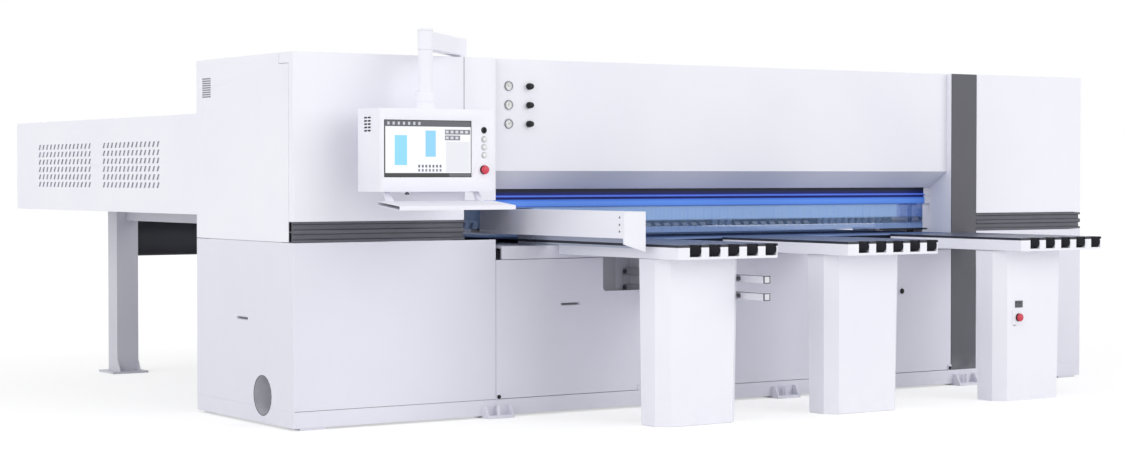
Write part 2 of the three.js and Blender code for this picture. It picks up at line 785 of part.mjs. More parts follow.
function lowerPanelMiddle() {
  const x0 = panelLeftEdge + seam / 2;
  const x1 = panelRightEdge - seam / 2;
  return tray(x0, x1).add(block(x0, x1, panelDepth - panelSheet, panelDepth,
    plinthHeight + seatGap, panelLow + pinBlockHeight)).subtract(block(
    x0 - overrun, tieX + tieWidth + tiePassage, -overrun, panelDepth + overrun,
    tieHeights[0] - tiePassage, tieHeights[1] + tieHeight + tiePassage,
  ));
}
add('lower_panel_middle', lowerPanelMiddle(), white);
add('lower_panel_right', lowerPanelRight(), white);

// Rear panel: back wall of the middle, which carries the rear edge of the table
const rearWallDepth = 30;

function rearPanel() {
  const x0 = leftWidth + seatGap;
  const x1 = rightX - seatGap;
  const low = plinthHeight + seatGap;
  const high = tableBottom - seatGap;
  return block(x0, x1, bodyDepth - rearWallDepth, bodyDepth, low, high).subtract(block(
    x0 + plate, x1 - plate, bodyDepth - rearWallDepth - overrun, bodyDepth - sheet,
    low + plate, high - plate,
  ));
}
add('rear_panel', rearPanel(), white);

// Machine table: plate with the saw slot
const tableLeftInset = 416;
const tableLeft = leftWidth + tableLeftInset;
const slotWidth = 16;
const slotMargin = 22;
const tableRight = columnX - seam;

function machineTable() {
  return block(tableLeft, tableRight, seatGap, bodyDepth, tableBottom, workHeight).subtract(block(
    tableLeft + slotMargin, tableRight - slotMargin, sawLine - slotWidth / 2,
    sawLine + slotWidth / 2, tableBottom - overrun, workHeight + overrun,
  ));
}
add('machine_table', machineTable(), phenolic);

// Front tables: a slab on a plenum, with roller pockets in the front edge, on a pedestal
const slabThickness = 12;
const plenumHeight = 64;
const plenumInset = 3;
const plenumWall = 4;
const inletRadius = 40;
const rollerRadius = 30;
const rollerWidth = 68;
const rollerPitch = 124;
const rollerCount = 5;
const rollerShift = 34;
const rollerGap = 3;
const rollerProud = 4;
const axleRadius = 7;
const axleSink = 5;
const boreSteps = 8;
const rollerY = rollerRadius - tableReach;
const rollerZ = workHeight - rollerRadius;
const tableFront = rollerProud - tableReach;
const plenumBottom = workHeight - slabThickness - plenumHeight;

function rollerPlaces() {
  return Array.from({ length: rollerCount },
    (unused, i) => rollerShift + (i - (rollerCount - 1) / 2) * rollerPitch);
}

function airTable() {
  const half = tableWidth / 2;
  const slabBottom = workHeight - slabThickness;
  const pocket = rollerWidth / 2 + rollerGap;
  const pocketBack = rollerY + rollerRadius + rollerGap;
  const axleEnd = rollerPlaces()[rollerCount - 1] + pocket + axleSink;
  const axleStart = rollerPlaces()[0] - pocket - axleSink;
  const nose = pocketBack + plate;
  const body = join([
    block(-half, half, tableFront, -seatGap, slabBottom, workHeight),
    block(-half + plenumInset, half - plenumInset, tableFront, -seatGap, plenumBottom, slabBottom),
  ]);
  const tools = [
    block(-half + plenumInset + plenumWall, half - plenumInset - plenumWall, nose,
      -seatGap - plenumWall, plenumBottom + plenumWall, slabBottom),
    cylinder('z', 0, (nose - seatGap) / 2, inletRadius, plenumBottom - overrun,
      plenumBottom + plenumWall + overrun, smallSteps),
    cylinder('x', rollerY, rollerZ, axleRadius + runGap * 2, axleStart, axleEnd, boreSteps),
  ];
  for (const x of rollerPlaces()) {
    tools.push(block(x - pocket, x + pocket, tableFront - overrun, pocketBack,
      rollerZ - rollerRadius - rollerGap, workHeight + overrun));
  }
  return cut(body, tools);
}

function tableRollers() {
  const pocket = rollerWidth / 2 + rollerGap;
  const end = rollerPlaces()[rollerCount - 1] + pocket + axleSink - runGap;
  const start = rollerPlaces()[0] - pocket - axleSink + runGap;
  const axle = cylinder('x', rollerY, rollerZ, axleRadius, start, end, smallSteps);
  const rollers = rollerPlaces().map((x) => cylinder('x', rollerY, rollerZ, rollerRadius,
    x - rollerWidth / 2, x + rollerWidth / 2, smallSteps));
  return join([axle, ...rollers]);
}

const pedestalDepth = 240;
const pedestalFront = 912;
const pedestalChamfer = 60;
const pedestalTaper = 9;
const pedestalWall = 4;
const stopBossWidth = 90;
const stopBossHeight = 85;
const stopBossDepth = 8;
const stopInset = 123;
const stopX = pedestalCentres[2] - stopInset;
const stopZ = 488;
const stopHeadRadius = 23;
const stopStemRadius = 9;
const stopTravelRoom = 8;
const stopHeadDepth = 16;
const stopStemLength = 20;

function octagon(grow) {
  const half = pedestalWidth / 2 + grow;
  const deep = pedestalDepth / 2 + grow;
  const inX = half - pedestalChamfer;
  const inY = deep - pedestalChamfer;
  return [
    [half, -inY], [half, inY], [inX, deep], [-inX, deep],
    [-half, inY], [-half, -inY], [-inX, -deep], [inX, -deep],
  ];
}

function pedestal() {
  const top = plenumBottom - seatGap;
  const shell = loft(octagon(0), 0, octagon(pedestalTaper), top);
  return shell.subtract(loft(octagon(-pedestalWall), -overrun,
    octagon(pedestalTaper - pedestalWall), top - pedestalWall));
}

const pedestalY = pedestalDepth / 2 - pedestalFront;
const stopFace = -pedestalFront - pedestalTaper * stopZ / plenumBottom;

for (let i = 0; i < tableCentres.length; i++) {
  add(`air_table_${i + 1}`, airTable(), phenolic, unit(tableCentres[i], 0, 0));
  add(`table_rollers_${i + 1}`, tableRollers(), black, unit(tableCentres[i], 0, 0));
  let stand = pedestal();
  if (i === tableCentres.length - 1) {
    const x = stopX - pedestalCentres[i];
    const y = stopFace - pedestalY;
    stand = stand.add(block(x - stopBossWidth / 2, x + stopBossWidth / 2, y - stopBossDepth,
      y + pedestalWall, stopZ - stopBossHeight / 2, stopZ + stopBossHeight / 2));
    stand = stand.subtract(cylinder('y', x, stopZ, stopStemRadius + runGap,
      y - stopBossDepth - overrun, y + stopStemLength, smallSteps));
  }
  add(`pedestal_${i + 1}`, stand, white, unit(pedestalCentres[i], pedestalY, 0));
}

// Mushroom stop button: head, and a stem through the face that it stands on
const stopHeadShares = [[1, 0], [1, 0.6], [0.75, 0.9], [0.4, 1], [0, 0.8]];

function stopButton() {
  const head = stopHeadShares.map(([deep, wide]) => [
    -stopTravelRoom - stopHeadDepth * deep, stopHeadRadius * wide,
  ]);
  return turned('y', 0, 0, [
    ...head, [-stopTravelRoom, stopStemRadius],
    [stopStemLength / 2, stopStemRadius], [stopStemLength / 2, 0],
  ], latheSteps);
}
add('pedestal_stop_button', stopButton(), red, unit(stopX, stopFace - stopBossDepth, stopZ));

// Tie arms: two stacked bars from the main beam past the first pedestal
const clampWidth = 60;
const clampPlaces = [200, -640, -805];
const clampWall = 9;

function tieArms() {
  const low = Math.min(...tieHeights);
  const high = Math.max(...tieHeights) + tieHeight;
  const bars = tieHeights.map((z) => block(tieX, tieX + tieWidth, -tieFront,
    frameFront - seatGap, z, z + tieHeight));
  const clamps = clampPlaces.map((y) => block(tieX - clampWall, tieX, y, y + clampWidth,
    low, high));
  return join([...bars, ...clamps]);
}
add('tie_arms', tieArms(), anthracite);

// Side fence: inverted channel with a slanted end plate, on a foot at its rear end
const fenceInset = 209;
const fenceX = leftWidth + fenceInset;
const fenceWidth = 136;
const fenceLow = 990;
const fenceFaceLow = 935;
const fenceFront = 903;
const fenceRearInset = 10;
const fenceTopInset = 10;
const fenceRear = frameFront - fenceRearInset;
const fenceTop = headerBottom - fenceTopInset;
const fenceWall = 6;
const endPlateThickness = 10;
const endPlateLow = 960;
const endPlateDrop = 42;
const fenceFootLength = 180;
const fenceFootInset = 24;

function sideFence() {
  const right = fenceX + fenceWidth;
  const section = [
    [fenceX, fenceLow], [fenceX, fenceTop], [right, fenceTop], [right, fenceFaceLow],
    [right - fenceWall, fenceFaceLow], [right - fenceWall, fenceTop - fenceWall],
    [fenceX + fenceWall, fenceTop - fenceWall], [fenceX + fenceWall, fenceLow],
  ];
  const end = [
    [fenceX, endPlateLow], [fenceX, fenceTop], [right, fenceTop], [right, endPlateLow - endPlateDrop],
  ];
  return join([
    prism('y', section, -fenceFront, fenceRear),
    prism('y', end, -fenceFront - endPlateThickness, -fenceFront),
    block(fenceX, right - fenceWall / 2, fenceRear - fenceFootLength, fenceRear - fenceFootInset,
      tableBottom, fenceTop - fenceWall / 2),
  ]);
}
add('side_fence', sideFence(), white);

// Curtain header and its strips, hung under the hood's lip, and the aligner that rides on it
const headerLeftInset = 19;
const headerLeft = leftWidth + headerLeftInset;
const headerFront = 196;
const headerDepth = 30;
const headerBand = 42;
const headerRib = 10;
const headerLip = 9;
const guideDepth = 10;
const guideHeight = 26;
const guideDrop = 48;
const guideZ = bevelBottom - guideDrop;
const stripThickness = 3;
const stripPitch = 42;
const stripSlit = 2.4;
const stripBottom = 985;
const stripHold = 30;
const stripUncut = 12;

function curtainHeader() {
  const back = headerFront + headerDepth;
  const top = bevelBottom - seatGap;
  const bandTop = headerBottom + headerBand;
  const section = [
    [headerFront, headerBottom], [headerFront, bandTop], [headerFront + headerRib, bandTop],
    [headerFront + headerRib, bandTop + headerRib], [headerFront, bandTop + headerRib],
    [headerFront, bandTop + headerRib * 2], [headerFront + headerRib, bandTop + headerRib * 2],
    [headerFront + headerRib, top], [back, top],
    [back, guideZ + guideHeight / 2], [back + guideDepth, guideZ + guideHeight / 2],
    [back + guideDepth, guideZ - guideHeight / 2], [back, guideZ - guideHeight / 2],
    [back, headerBottom + stripHold], [headerFront + headerLip, headerBottom + stripHold],
    [headerFront + headerLip, headerBottom],
  ];
  return prism('x', section, headerLeft, columnX - seatGap);
}
add('curtain_header', curtainHeader(), blue);

function stripCurtain() {
  const left = headerLeft + stripPitch / 2;
  const right = columnX - stripPitch / 2;
  const count = Math.floor((right - left) / stripPitch);
  const high = headerBottom + stripHold - seatGap;
  const slitTop = headerBottom - stripUncut;
  const points = [[left, stripBottom]];
  for (let i = 1; i < count; i++) {
    const x = left + i * (right - left) / count;
    points.push([x - stripSlit / 2, stripBottom], [x, slitTop], [x + stripSlit / 2, stripBottom]);
  }
  points.push([right, stripBottom], [right, high], [left, high]);
  const front = headerFront + headerLip + seatGap;
  const fencePassage = block(fenceX - seam, fenceX + fenceWidth + seam, front - overrun,
    front + stripThickness + overrun, stripBottom - overrun, fenceTop + seam);
  return prism('y', points, front, front + stripThickness).subtract(fencePassage);
}
add('strip_curtain', stripCurtain(), strip);

const alignerInset = 120;
const alignerX = columnX - alignerInset;
const alignerTruck = 90;
const alignerWall = 10;
const alignerArm = 14;
const alignerRollerRadius = 22;
const alignerRollerHeight = 34;
const alignerClearance = 3;

function sideAligner() {
  const back = headerFront + headerDepth;
  const inner = back + runGap;
  const outer = back + guideDepth + alignerWall;
  const low = guideZ - guideHeight / 2 - alignerWall;
  const high = guideZ + guideHeight / 2 + alignerWall;
  const truck = block(alignerX - alignerTruck / 2, alignerX + alignerTruck / 2, inner, outer,
    low, high).subtract(block(alignerX - alignerTruck, alignerX + alignerTruck, inner - overrun,
    back + guideDepth + runGap, guideZ - guideHeight / 2 - runGap,
    guideZ + guideHeight / 2 + runGap));
  const armFront = outer - alignerWall / 2;
  const floorZ = workHeight + alignerClearance;
  const armMiddle = armFront + alignerArm / 2;
  return join([
    truck,
    block(alignerX - alignerArm / 2, alignerX + alignerArm / 2, armFront, armFront + alignerArm,
      floorZ + alignerRollerHeight / 2, high),
    cylinder('z', alignerX, armMiddle, alignerRollerRadius, floorZ,
      floorZ + alignerRollerHeight, latheSteps),
  ]);
}
add('side_aligner', sideAligner(), black);

// Pressure beam: hollow clamping beam with a comb along its front foot
const pressHalf = 90;
const pressWall = 10;
const pressLeftInset = 29;
const pressLeft = leftWidth + pressLeftInset;
const pressRight = tableRight - slotMargin;
const pressBottom = 1010;
const footHeight = 52;
const footSpread = 18;
const combThickness = 15;
const combPitch = 55;
const notchShares = [[0.16, 0], [0.32, 0.66], [0.76, 0.74], [0.56, 0]];
const carrierHalf = 45;
const carrierWall = 6;

function combOutline(z) {
  const count = Math.floor((pressRight - pressLeft) / combPitch);
  const pitch = (pressRight - pressLeft) / count;
  const points = [[pressLeft, z]];
  for (let i = 0; i < count; i++) {
    for (const [across, up] of notchShares) {
      points.push([pressLeft + (i + across) * pitch, z + up * footHeight]);
    }
  }
  points.push([pressRight, z], [pressRight, z + footHeight], [pressLeft, z + footHeight]);
  return points;
}

function pressureBeam() {
  const front = sawLine - pressHalf;
  const back = sawLine + pressHalf;
  const footTop = pressBottom + footHeight;
  const section = [
    [front, footTop], [front, pressTop], [back, pressTop], [back, pressBottom],
    [back - pressWall, pressBottom], [back - pressWall, pressTop - pressWall],
    [front + pressWall, pressTop - pressWall], [front + pressWall, footTop],
  ];
  const rearFoot = rectangle(back - overrun, back + footSpread, pressBottom, footTop);
  const end = postLeft + seatGap;
  const carrier = prism('x',
    rectangle(sawLine - carrierHalf, sawLine + carrierHalf, pressTop, pressTop + carrierHeight),
    end, machineWidth - end,
    [rectangle(sawLine - carrierHalf + carrierWall, sawLine + carrierHalf - carrierWall,
      pressTop + carrierWall, pressTop + carrierHeight - carrierWall)]);
  const rods = [cylinderInset, machineWidth - cylinderInset].map((x) => cylinder('z', x, sawLine,
    rodRadius, pressTop + carrierHeight - carrierWall, pressTop + carrierHeight + rodLength,
    smallSteps));
  return join([
    prism('x', section, pressLeft, pressRight),
    prism('x', rearFoot, pressLeft, pressRight),
    prism('y', combOutline(pressBottom), front - combThickness, front + pressWall),
    carrier, ...rods,
  ]);
}
add('pressure_beam', pressureBeam(), aluminium);

// Saw unit: carriage on the ways, lift slide with both motors, main and scoring blade
const bladeRadius = 200;
const bladeThickness = 4;
const bladeTeeth = 48;
const bladeClearance = 4;
const parkX = 700;
const scoringOffset = 330;
const scoringRadius = 80;
const scoringTeeth = 24;
const carriageLeft = 230;
const carriageRight = 430;
const carriagePlate = 26;
const carriageLow = 545;
const carriageHigh = 865;
const bearingWidth = 120;
const bearingGrip = 16;
const guideBarX = 135;
const guideBarWidth = 30;
const guideBarDepth = 10;
const liftLeft = 200;
const liftRight = 400;
const liftThickness = 28;
const liftLow = 430;
const liftHigh = 690;
const shelfLow = 490;
const shelfThickness = 25;
const motorRadius = 95;
const motorFins = 14;
const finDepth = 7;
const motorFront = 25;
const motorLengthShare = 0.2458;
const motorLength = motorLengthShare * bodyDepth;
const shelfOverhang = 30;
const shelfBack = sawLine + motorLength + shelfOverhang;
const scoringMotorRadius = 45;
const sawLift = 105;
const scoringRise = 3;
const scoringMotorLength = 180;
const saddleWidth = 150;
const spindleFlange = 60;
const spindleRadius = 40;
const spindleNose = 10;
const spindleZ = tableBottom - bladeClearance - bladeRadius;
const scoringZ = workHeight + scoringRise - sawLift - scoringRadius;
const carriageFront = mainBeamBack + wayDepth + plate;
const sawUnit = unit(parkX, 0, 0);

// Blade outline: each tooth is a raked tip followed by a round gullet
const toothDepthShare = 0.085;
const toothShares = [[0, 1], [0.3, 0.55], [0.62, 0], [0.9, 0.08]];

function bladeOutline(z, radius, teeth) {
  const depth = radius * toothDepthShare;
  const points = [];
  for (let i = 0; i < teeth; i++) {
    for (const [along, rise] of toothShares) {
      const angle = (i + along) * 2 * Math.PI / teeth;
      const r = radius - depth * (1 - rise);
      points.push([r * Math.cos(angle), z + r * Math.sin(angle)]);
    }
  }
  return points;
}

function blade(x, z, radius, teeth, hub, shaft) {
  const front = sawLine - bladeThickness / 2;
  const back = sawLine + bladeThickness / 2;
  const outline = bladeOutline(z, radius, teeth).map(([u, v]) => [x + u, v]);
  return join([
    prism('y', outline, front, back),
    cylinder('y', x, z, hub, front - spindleNose, back + spindleNose / 2),
    cylinder('y', x, z, shaft, back, sawLine + motorFront - seatGap),
  ]);
}

function sawCarriage() {
  const back = carriageFront + carriagePlate;
  const pieces = [block(-carriageLeft, carriageRight, carriageFront, back, carriageLow, carriageHigh)];
  for (const z of wayHeights) {
    for (const x of [-carriageLeft, carriageRight - bearingWidth]) {
      pieces.push(block(x, x + bearingWidth, mainBeamBack + runGap, carriageFront + plate,
        z - wayHeight / 2 - bearingGrip, z + wayHeight / 2 + bearingGrip));
    }
  }
  for (const x of [-guideBarX, guideBarX]) {
    pieces.push(block(x - guideBarWidth / 2, x + guideBarWidth / 2, back - plate,
      back + guideBarDepth, carriageLow, carriageHigh));
  }
  const grooves = wayHeights.map((z) => block(-carriageLeft - overrun, carriageRight + overrun,
    mainBeamBack, mainBeamBack + wayDepth + runGap,
    z - wayHeight / 2 - runGap, z + wayHeight / 2 + runGap));
  return cut(join(pieces), grooves);
}
add('saw_carriage', sawCarriage(), steel, sawUnit);

function finnedMotor(x, z) {
  const points = [];
  for (let i = 0; i < motorFins * 2; i++) {
    const low = i * Math.PI / motorFins;
    const high = (i + 1) * Math.PI / motorFins;
    const radius = i % 2 === 0 ? motorRadius : motorRadius - finDepth;
    points.push([x + radius * Math.cos(low), z + radius * Math.sin(low)]);
    points.push([x + radius * Math.cos(high), z + radius * Math.sin(high)]);
  }
  const front = sawLine + motorFront;
  return join([
    prism('y', points, front + plate, front + motorLength),
    cylinder('y', x, z, motorRadius - finDepth, front, front + plate * 2),
    cylinder('y', x, z, motorRadius - finDepth, front + motorLength - plate,
      front + motorLength + plate),
  ]);
}

function sawArm() {
  const back = carriageFront + carriagePlate;
  const front = back + runGap;
  const motorFace = sawLine + motorFront;
  const shelfTop = shelfLow + shelfThickness;
  const slide = block(-liftLeft, liftRight, front, back + liftThickness, liftLow, liftHigh);
  const grooves = [-guideBarX, guideBarX].map((x) => block(
    x - guideBarWidth / 2 - runGap, x + guideBarWidth / 2 + runGap, front - overrun,
    back + guideBarDepth + runGap, liftLow - overrun, liftHigh + overrun,
  ));
  const scoringPost = scoringOffset - scoringMotorRadius;
  return join([
    cut(slide, grooves),
    block(-liftLeft, liftRight, back + guideBarDepth + plate / 2, shelfBack, shelfLow, shelfTop),
    block(-saddleWidth / 2, saddleWidth / 2, motorFace + plate * 2,
      motorFace + motorLength - plate * 2, shelfTop - plate, spindleZ - motorRadius / 2),
    finnedMotor(0, spindleZ),
    block(scoringPost, scoringOffset + scoringMotorRadius, motorFace + plate * 2,
      motorFace + scoringMotorLength - plate, shelfTop - plate, scoringZ),
    cylinder('y', scoringOffset, scoringZ, scoringMotorRadius, motorFace,
      motorFace + scoringMotorLength),
  ]);
}
add('saw_arm', sawArm(), steel, sawUnit);
add('main_blade', blade(0, spindleZ, bladeRadius, bladeTeeth, spindleFlange, spindleRadius),
  steel, sawUnit);
add('scoring_blade', blade(scoringOffset, scoringZ, scoringRadius, scoringTeeth,
  spindleFlange / 2, spindleRadius / 2), steel, sawUnit);

// Rear stands: leg on a gusseted foot plate, side beam and the pusher's guide rail
const legX = 564;
const legY = 3700;
const legSize = 150;
const legWall = 6;
const legTop = 1097.7;
const footPlate = 250;
const footPlateThickness = 14;
const gussetHeight = 92;
const gussetReach = 44;
const gussetThickness = 8;
const sideBeamFront = 770;
const guideRailWidth = 30;
const guideRailHeight = 28;
const sideGuideHeight = 22;
const sideGuideDepth = 16;
const sideGuideZ = 1056;

// Mirrors a place along X onto the right-hand side
const sides = {
  left: (x) => x,
  right: (x) => machineWidth - x,
};

function sidedBlock(at, x0, x1, ...rest) {
  return block(Math.min(at(x0), at(x1)), Math.max(at(x0), at(x1)), ...rest);
}

function rearStand(at) {
  const legEnd = legX + legSize;
  const middleX = legX + legSize / 2;
  const middleY = legY + legSize / 2;
  const top = sideBeamBottom + sideBeamHeight;
  const railX = sideBeamX + (sideBeamWidth - guideRailWidth) / 2;
  const half = footPlate / 2;
  const pieces = [
    sidedBlock(at, legX, legEnd, legY, legY + legSize, footPlateThickness / 2, legTop),
    sidedBlock(at, middleX - half, middleX + half, middleY - half, middleY + half,
      0, footPlateThickness),
    sidedBlock(at, sideBeamX, sideBeamX + sideBeamWidth, sideBeamFront, legY + plate,
      sideBeamBottom, top),
    sidedBlock(at, railX, railX + guideRailWidth, sideBeamFront, legY + plate,
      top - plate, top + guideRailHeight),
    sidedBlock(at, sideBeamX + sideBeamWidth - plate, sideBeamX + sideBeamWidth + sideGuideDepth,
      sideBeamFront, legY - seam, sideGuideZ - sideGuideHeight / 2, sideGuideZ + sideGuideHeight / 2),
  ];
  for (const x of [legX, legEnd - gussetThickness]) {
    const low = Math.min(at(x), at(x + gussetThickness));
    pieces.push(prism('x', [
      [legY + plate, footPlateThickness / 2], [legY + plate, gussetHeight],
      [legY, gussetHeight], [legY - gussetReach, footPlateThickness],
      [legY - gussetReach, footPlateThickness / 2],
    ], low, low + gussetThickness));
  }
  const hollow = sidedBlock(at, legX + legWall, legEnd - legWall, legY + legWall,
    legY + legSize - legWall, -overrun, legTop - legWall);
  const bore = sidedBlock(at, sideBeamX + legWall, sideBeamX + sideBeamWidth - legWall,
    sideBeamFront - overrun, legY - plate, sideBeamBottom + legWall, top - legWall);
  return cut(join(pieces), [hollow, bore]);
}

// Rear covers: long folded covers over the guides, open inwards
const coverBottomWidth = 60;
const coverLow = rearSill;
const coverTop = rearOpeningTop - seam;

function rearCover(at) {
  const front = bodyDepth + seatGap;
  const bottomEnd = sideBeamX - 2 * overrun;
  const pieces = [
    sidedBlock(at, 0, rearCoverWidth, front, rearReach, coverTop - sheet, coverTop),
    sidedBlock(at, 0, bottomEnd, front, rearReach, coverLow, coverLow + sheet),
    sidedBlock(at, 0, rearCoverWidth, rearReach - sheet, rearReach, coverLow, coverTop),
    sidedBlock(at, rearCoverWidth - sheet, rearCoverWidth, front, rearReach,
      coverTop - coverBottomWidth, coverTop),
  ];
  pieces.push(sidedBlock(at, 0, sheet, front, rearReach, coverLow, coverTop));
  return join(pieces);
}

for (const [side, at] of Object.entries(sides)) {
  add(`rear_stand_${side}`, rearStand(at), white);
  add(`rear_cover_${side}`, rearCover(at), white);
}

// Rear cross beam: channel between the legs, open to the front
const crossInset = 15;
const crossDepth = 120;
const crossBottom = 780;
const crossHeight = 235;
const crossWall = 10;

function rearCrossBeam() {
  const front = legY + crossInset;
  const back = front + crossDepth;
  const top = crossBottom + crossHeight;
  const section = [
    [front, crossBottom], [back, crossBottom], [back, top], [front, top], [front, top - crossWall],
    [back - crossWall, top - crossWall], [back - crossWall, crossBottom + crossWall],
    [front, crossBottom + crossWall],
  ];
  const x0 = legX + legSize + seatGap;
  return prism('x', section, x0, machineWidth - x0);
}
add('rear_cross_beam', rearCrossBeam(), anthracite);

// Rear track: bars with slide strips that carry the boards behind the saw, tied in two places
const trackLeftReach = 137;
const trackFirst = tableLeft - trackLeftReach;
const trackRightInset = 158;
const trackLast = columnX - trackRightInset;
const trackCount = 8;
const trackWidth = 50;
const trackHeight = 60;
const stripWidth = 22;
const stripRise = 7;
const tieBarHeight = 40;
const tieBarShares = [0.32, 0.68];
const trackPitch = (trackLast - trackFirst) / (trackCount - 1);

function rearTrack() {
  const front = bodyDepth + seatGap;
  const back = legY + crossInset + crossDepth - crossWall - seatGap;
  const top = workHeight - stripRise;
  const pieces = [];
  for (let i = 0; i < trackCount; i++) {
    const x = trackFirst + i * trackPitch;
    pieces.push(prism('y', [
      [x - trackWidth / 2, top - trackHeight], [x + trackWidth / 2, top - trackHeight],
      [x + trackWidth / 2, top], [x + stripWidth / 2, top], [x + stripWidth / 2, workHeight],
      [x - stripWidth / 2, workHeight], [x - stripWidth / 2, top], [x - trackWidth / 2, top],
    ], front, back));
  }
  for (const share of tieBarShares) {
    const y = front + share * (back - front);
    pieces.push(block(trackFirst, trackLast, y, y + trackWidth, top - trackHeight - tieBarHeight,
      top - trackHeight + sheet));
  }
  return join(pieces);
}
add('rear_track', rearTrack(), steel);

// Pushers: the main bridge with its gripper jaws, and the short second pusher
const pusherY = 2400;
const bridgeHalf = 80;
const bridgeLow = 1180;
const bridgeHigh = 1400;
const bridgeWall = 8;
const truckHalf = 150;
const truckWall = 14;
const gripperCount = 5;
const gripperWidth = 90;
const gripperArmDepth = 50;
const gripperReach = 120;
const jawLowThickness = 7;
const jawClearance = 2;
const jawShaftRadius = 12;
const jawThickness = 12;
const jawOpening = 43;
const jawShaftRise = 62;
const jawOpen = workHeight + jawOpening;
const jawHeight = jawOpen + jawShaftRise;
const secondY = 1700;
const secondHalf = 40;
const secondLow = 1036;
const secondHigh = 1112;
const secondGrippers = 2;

// Grippers stand midway between the track bars
function gripperPlace(i) {
  return trackFirst + (i + 0.5) * trackPitch;
}

// Lower jaw and its hanging arm, in front of a bridge whose middle is at zero
function lowerJaw(x, half, armTop) {
  const front = -half - gripperArmDepth;
  const floorZ = workHeight + jawClearance;
  return join([
    block(x - gripperWidth / 2, x + gripperWidth / 2, front, -half + plate, floorZ, armTop),
    block(x - gripperWidth / 2, x + gripperWidth / 2, front - gripperReach, front + plate,
      floorZ, floorZ + jawLowThickness),
  ]);
}

function pusherBeam() {
  const x0 = sideBeamX - sheet;
  const top = sideBeamBottom + sideBeamHeight + guideRailHeight;
  const railX = sideBeamX + (sideBeamWidth - guideRailWidth) / 2;
  let body = tube(x0, machineWidth - x0, -bridgeHalf, bridgeHalf, bridgeLow, bridgeHigh, bridgeWall);
  for (const at of Object.values(sides)) {
    const truck = sidedBlock(at, railX - truckWall, railX + guideRailWidth + truckWall,
      -truckHalf, truckHalf, top - guideRailHeight + runGap * 2, bridgeLow + bridgeWall / 2);
    const channel = sidedBlock(at, railX - runGap, railX + guideRailWidth + runGap,
      -truckHalf - overrun, truckHalf + overrun, top - guideRailHeight - overrun, top + runGap);
    body = body.add(truck.subtract(channel));
  }
  for (let i = secondGrippers; i < secondGrippers + gripperCount; i++) {
    const x = gripperPlace(i);
    const jaw = lowerJaw(x, bridgeHalf, bridgeLow + plate);
    body = body.add(jaw);
  }
  const shaftY = -bridgeHalf - gripperArmDepth - jawShaftRadius - seatGap * 2;
  const ears = [secondGrippers - 0.5, secondGrippers + gripperCount - 0.5].map((share) => {
    const x = trackFirst + (share + 0.5) * trackPitch;
    const ear = block(x - plate / 2, x + plate / 2, shaftY - jawShaftRadius - plate,
      -bridgeHalf + plate, jawHeight - jawShaftRadius - plate, bridgeLow + plate);
    return ear.subtract(cylinder('x', shaftY, jawHeight, jawShaftRadius + runGap,
      x - plate, x + plate, latheSteps));
  });
  return join([body, ...ears]);
}

function gripperJaws() {
  const shaftY = -bridgeHalf - gripperArmDepth - jawShaftRadius - seatGap * 2;
  const first = gripperPlace(secondGrippers - 0.5) - plate / 2 - overrun;
  const last = gripperPlace(secondGrippers + gripperCount - 0.5) + plate / 2 + overrun;
  const front = -bridgeHalf - gripperArmDepth - gripperReach;
  const shaft = cylinder('x', shaftY, jawHeight, jawShaftRadius, first, last, latheSteps);
  const jaws = [];
  for (let i = secondGrippers; i < secondGrippers + gripperCount; i++) {
    const x = gripperPlace(i);
    jaws.push(prism('x', [
      [shaftY, jawHeight], [shaftY - jawShaftRadius, jawHeight],
      [front + jawThickness, jawOpen + jawThickness], [front, jawOpen + jawThickness],
      [front, jawOpen], [front + jawThickness, jawOpen], [shaftY, jawHeight - jawThickness],
    ], x - gripperWidth / 3, x + gripperWidth / 3));
  }
  return join([shaft, ...jaws]);
}

const pusherUnit = unit(0, pusherY, 0);
add('pusher_beam', pusherBeam(), dark, pusherUnit);
add('gripper_jaws', gripperJaws(), steel, pusherUnit);

function secondPusher() {
  const guideEnd = sideBeamX + sideBeamWidth + sideGuideDepth;
  const x0 = sideBeamX + sideBeamWidth + runGap * 2;
  const x1 = gripperPlace(secondGrippers - 1) + gripperWidth / 2;
  let body = tube(guideEnd + plate, x1, -secondHalf, secondHalf, secondLow, secondHigh, bridgeWall);
  const truck = block(x0, guideEnd + plate * 2, -truckHalf, truckHalf,
    sideGuideZ - sideGuideHeight / 2 - truckWall, sideGuideZ + sideGuideHeight / 2 + truckWall);
  const channel = block(x0 - overrun, guideEnd + runGap, -truckHalf - overrun,
    truckHalf + overrun, sideGuideZ - sideGuideHeight / 2 - runGap,
    sideGuideZ + sideGuideHeight / 2 + runGap);
  body = body.add(truck.subtract(channel));
  for (let i = 0; i < secondGrippers; i++) {
    body = body.add(lowerJaw(gripperPlace(i), secondHalf, secondLow + plate));
    body = body.add(block(gripperPlace(i) - gripperWidth / 3, gripperPlace(i) + gripperWidth / 3,
      -secondHalf - gripperArmDepth - gripperReach, -secondHalf, jawOpen, jawOpen + jawThickness));
  }
  return body;
}
add('second_pusher', secondPusher(), dark, unit(0, secondY, 0));

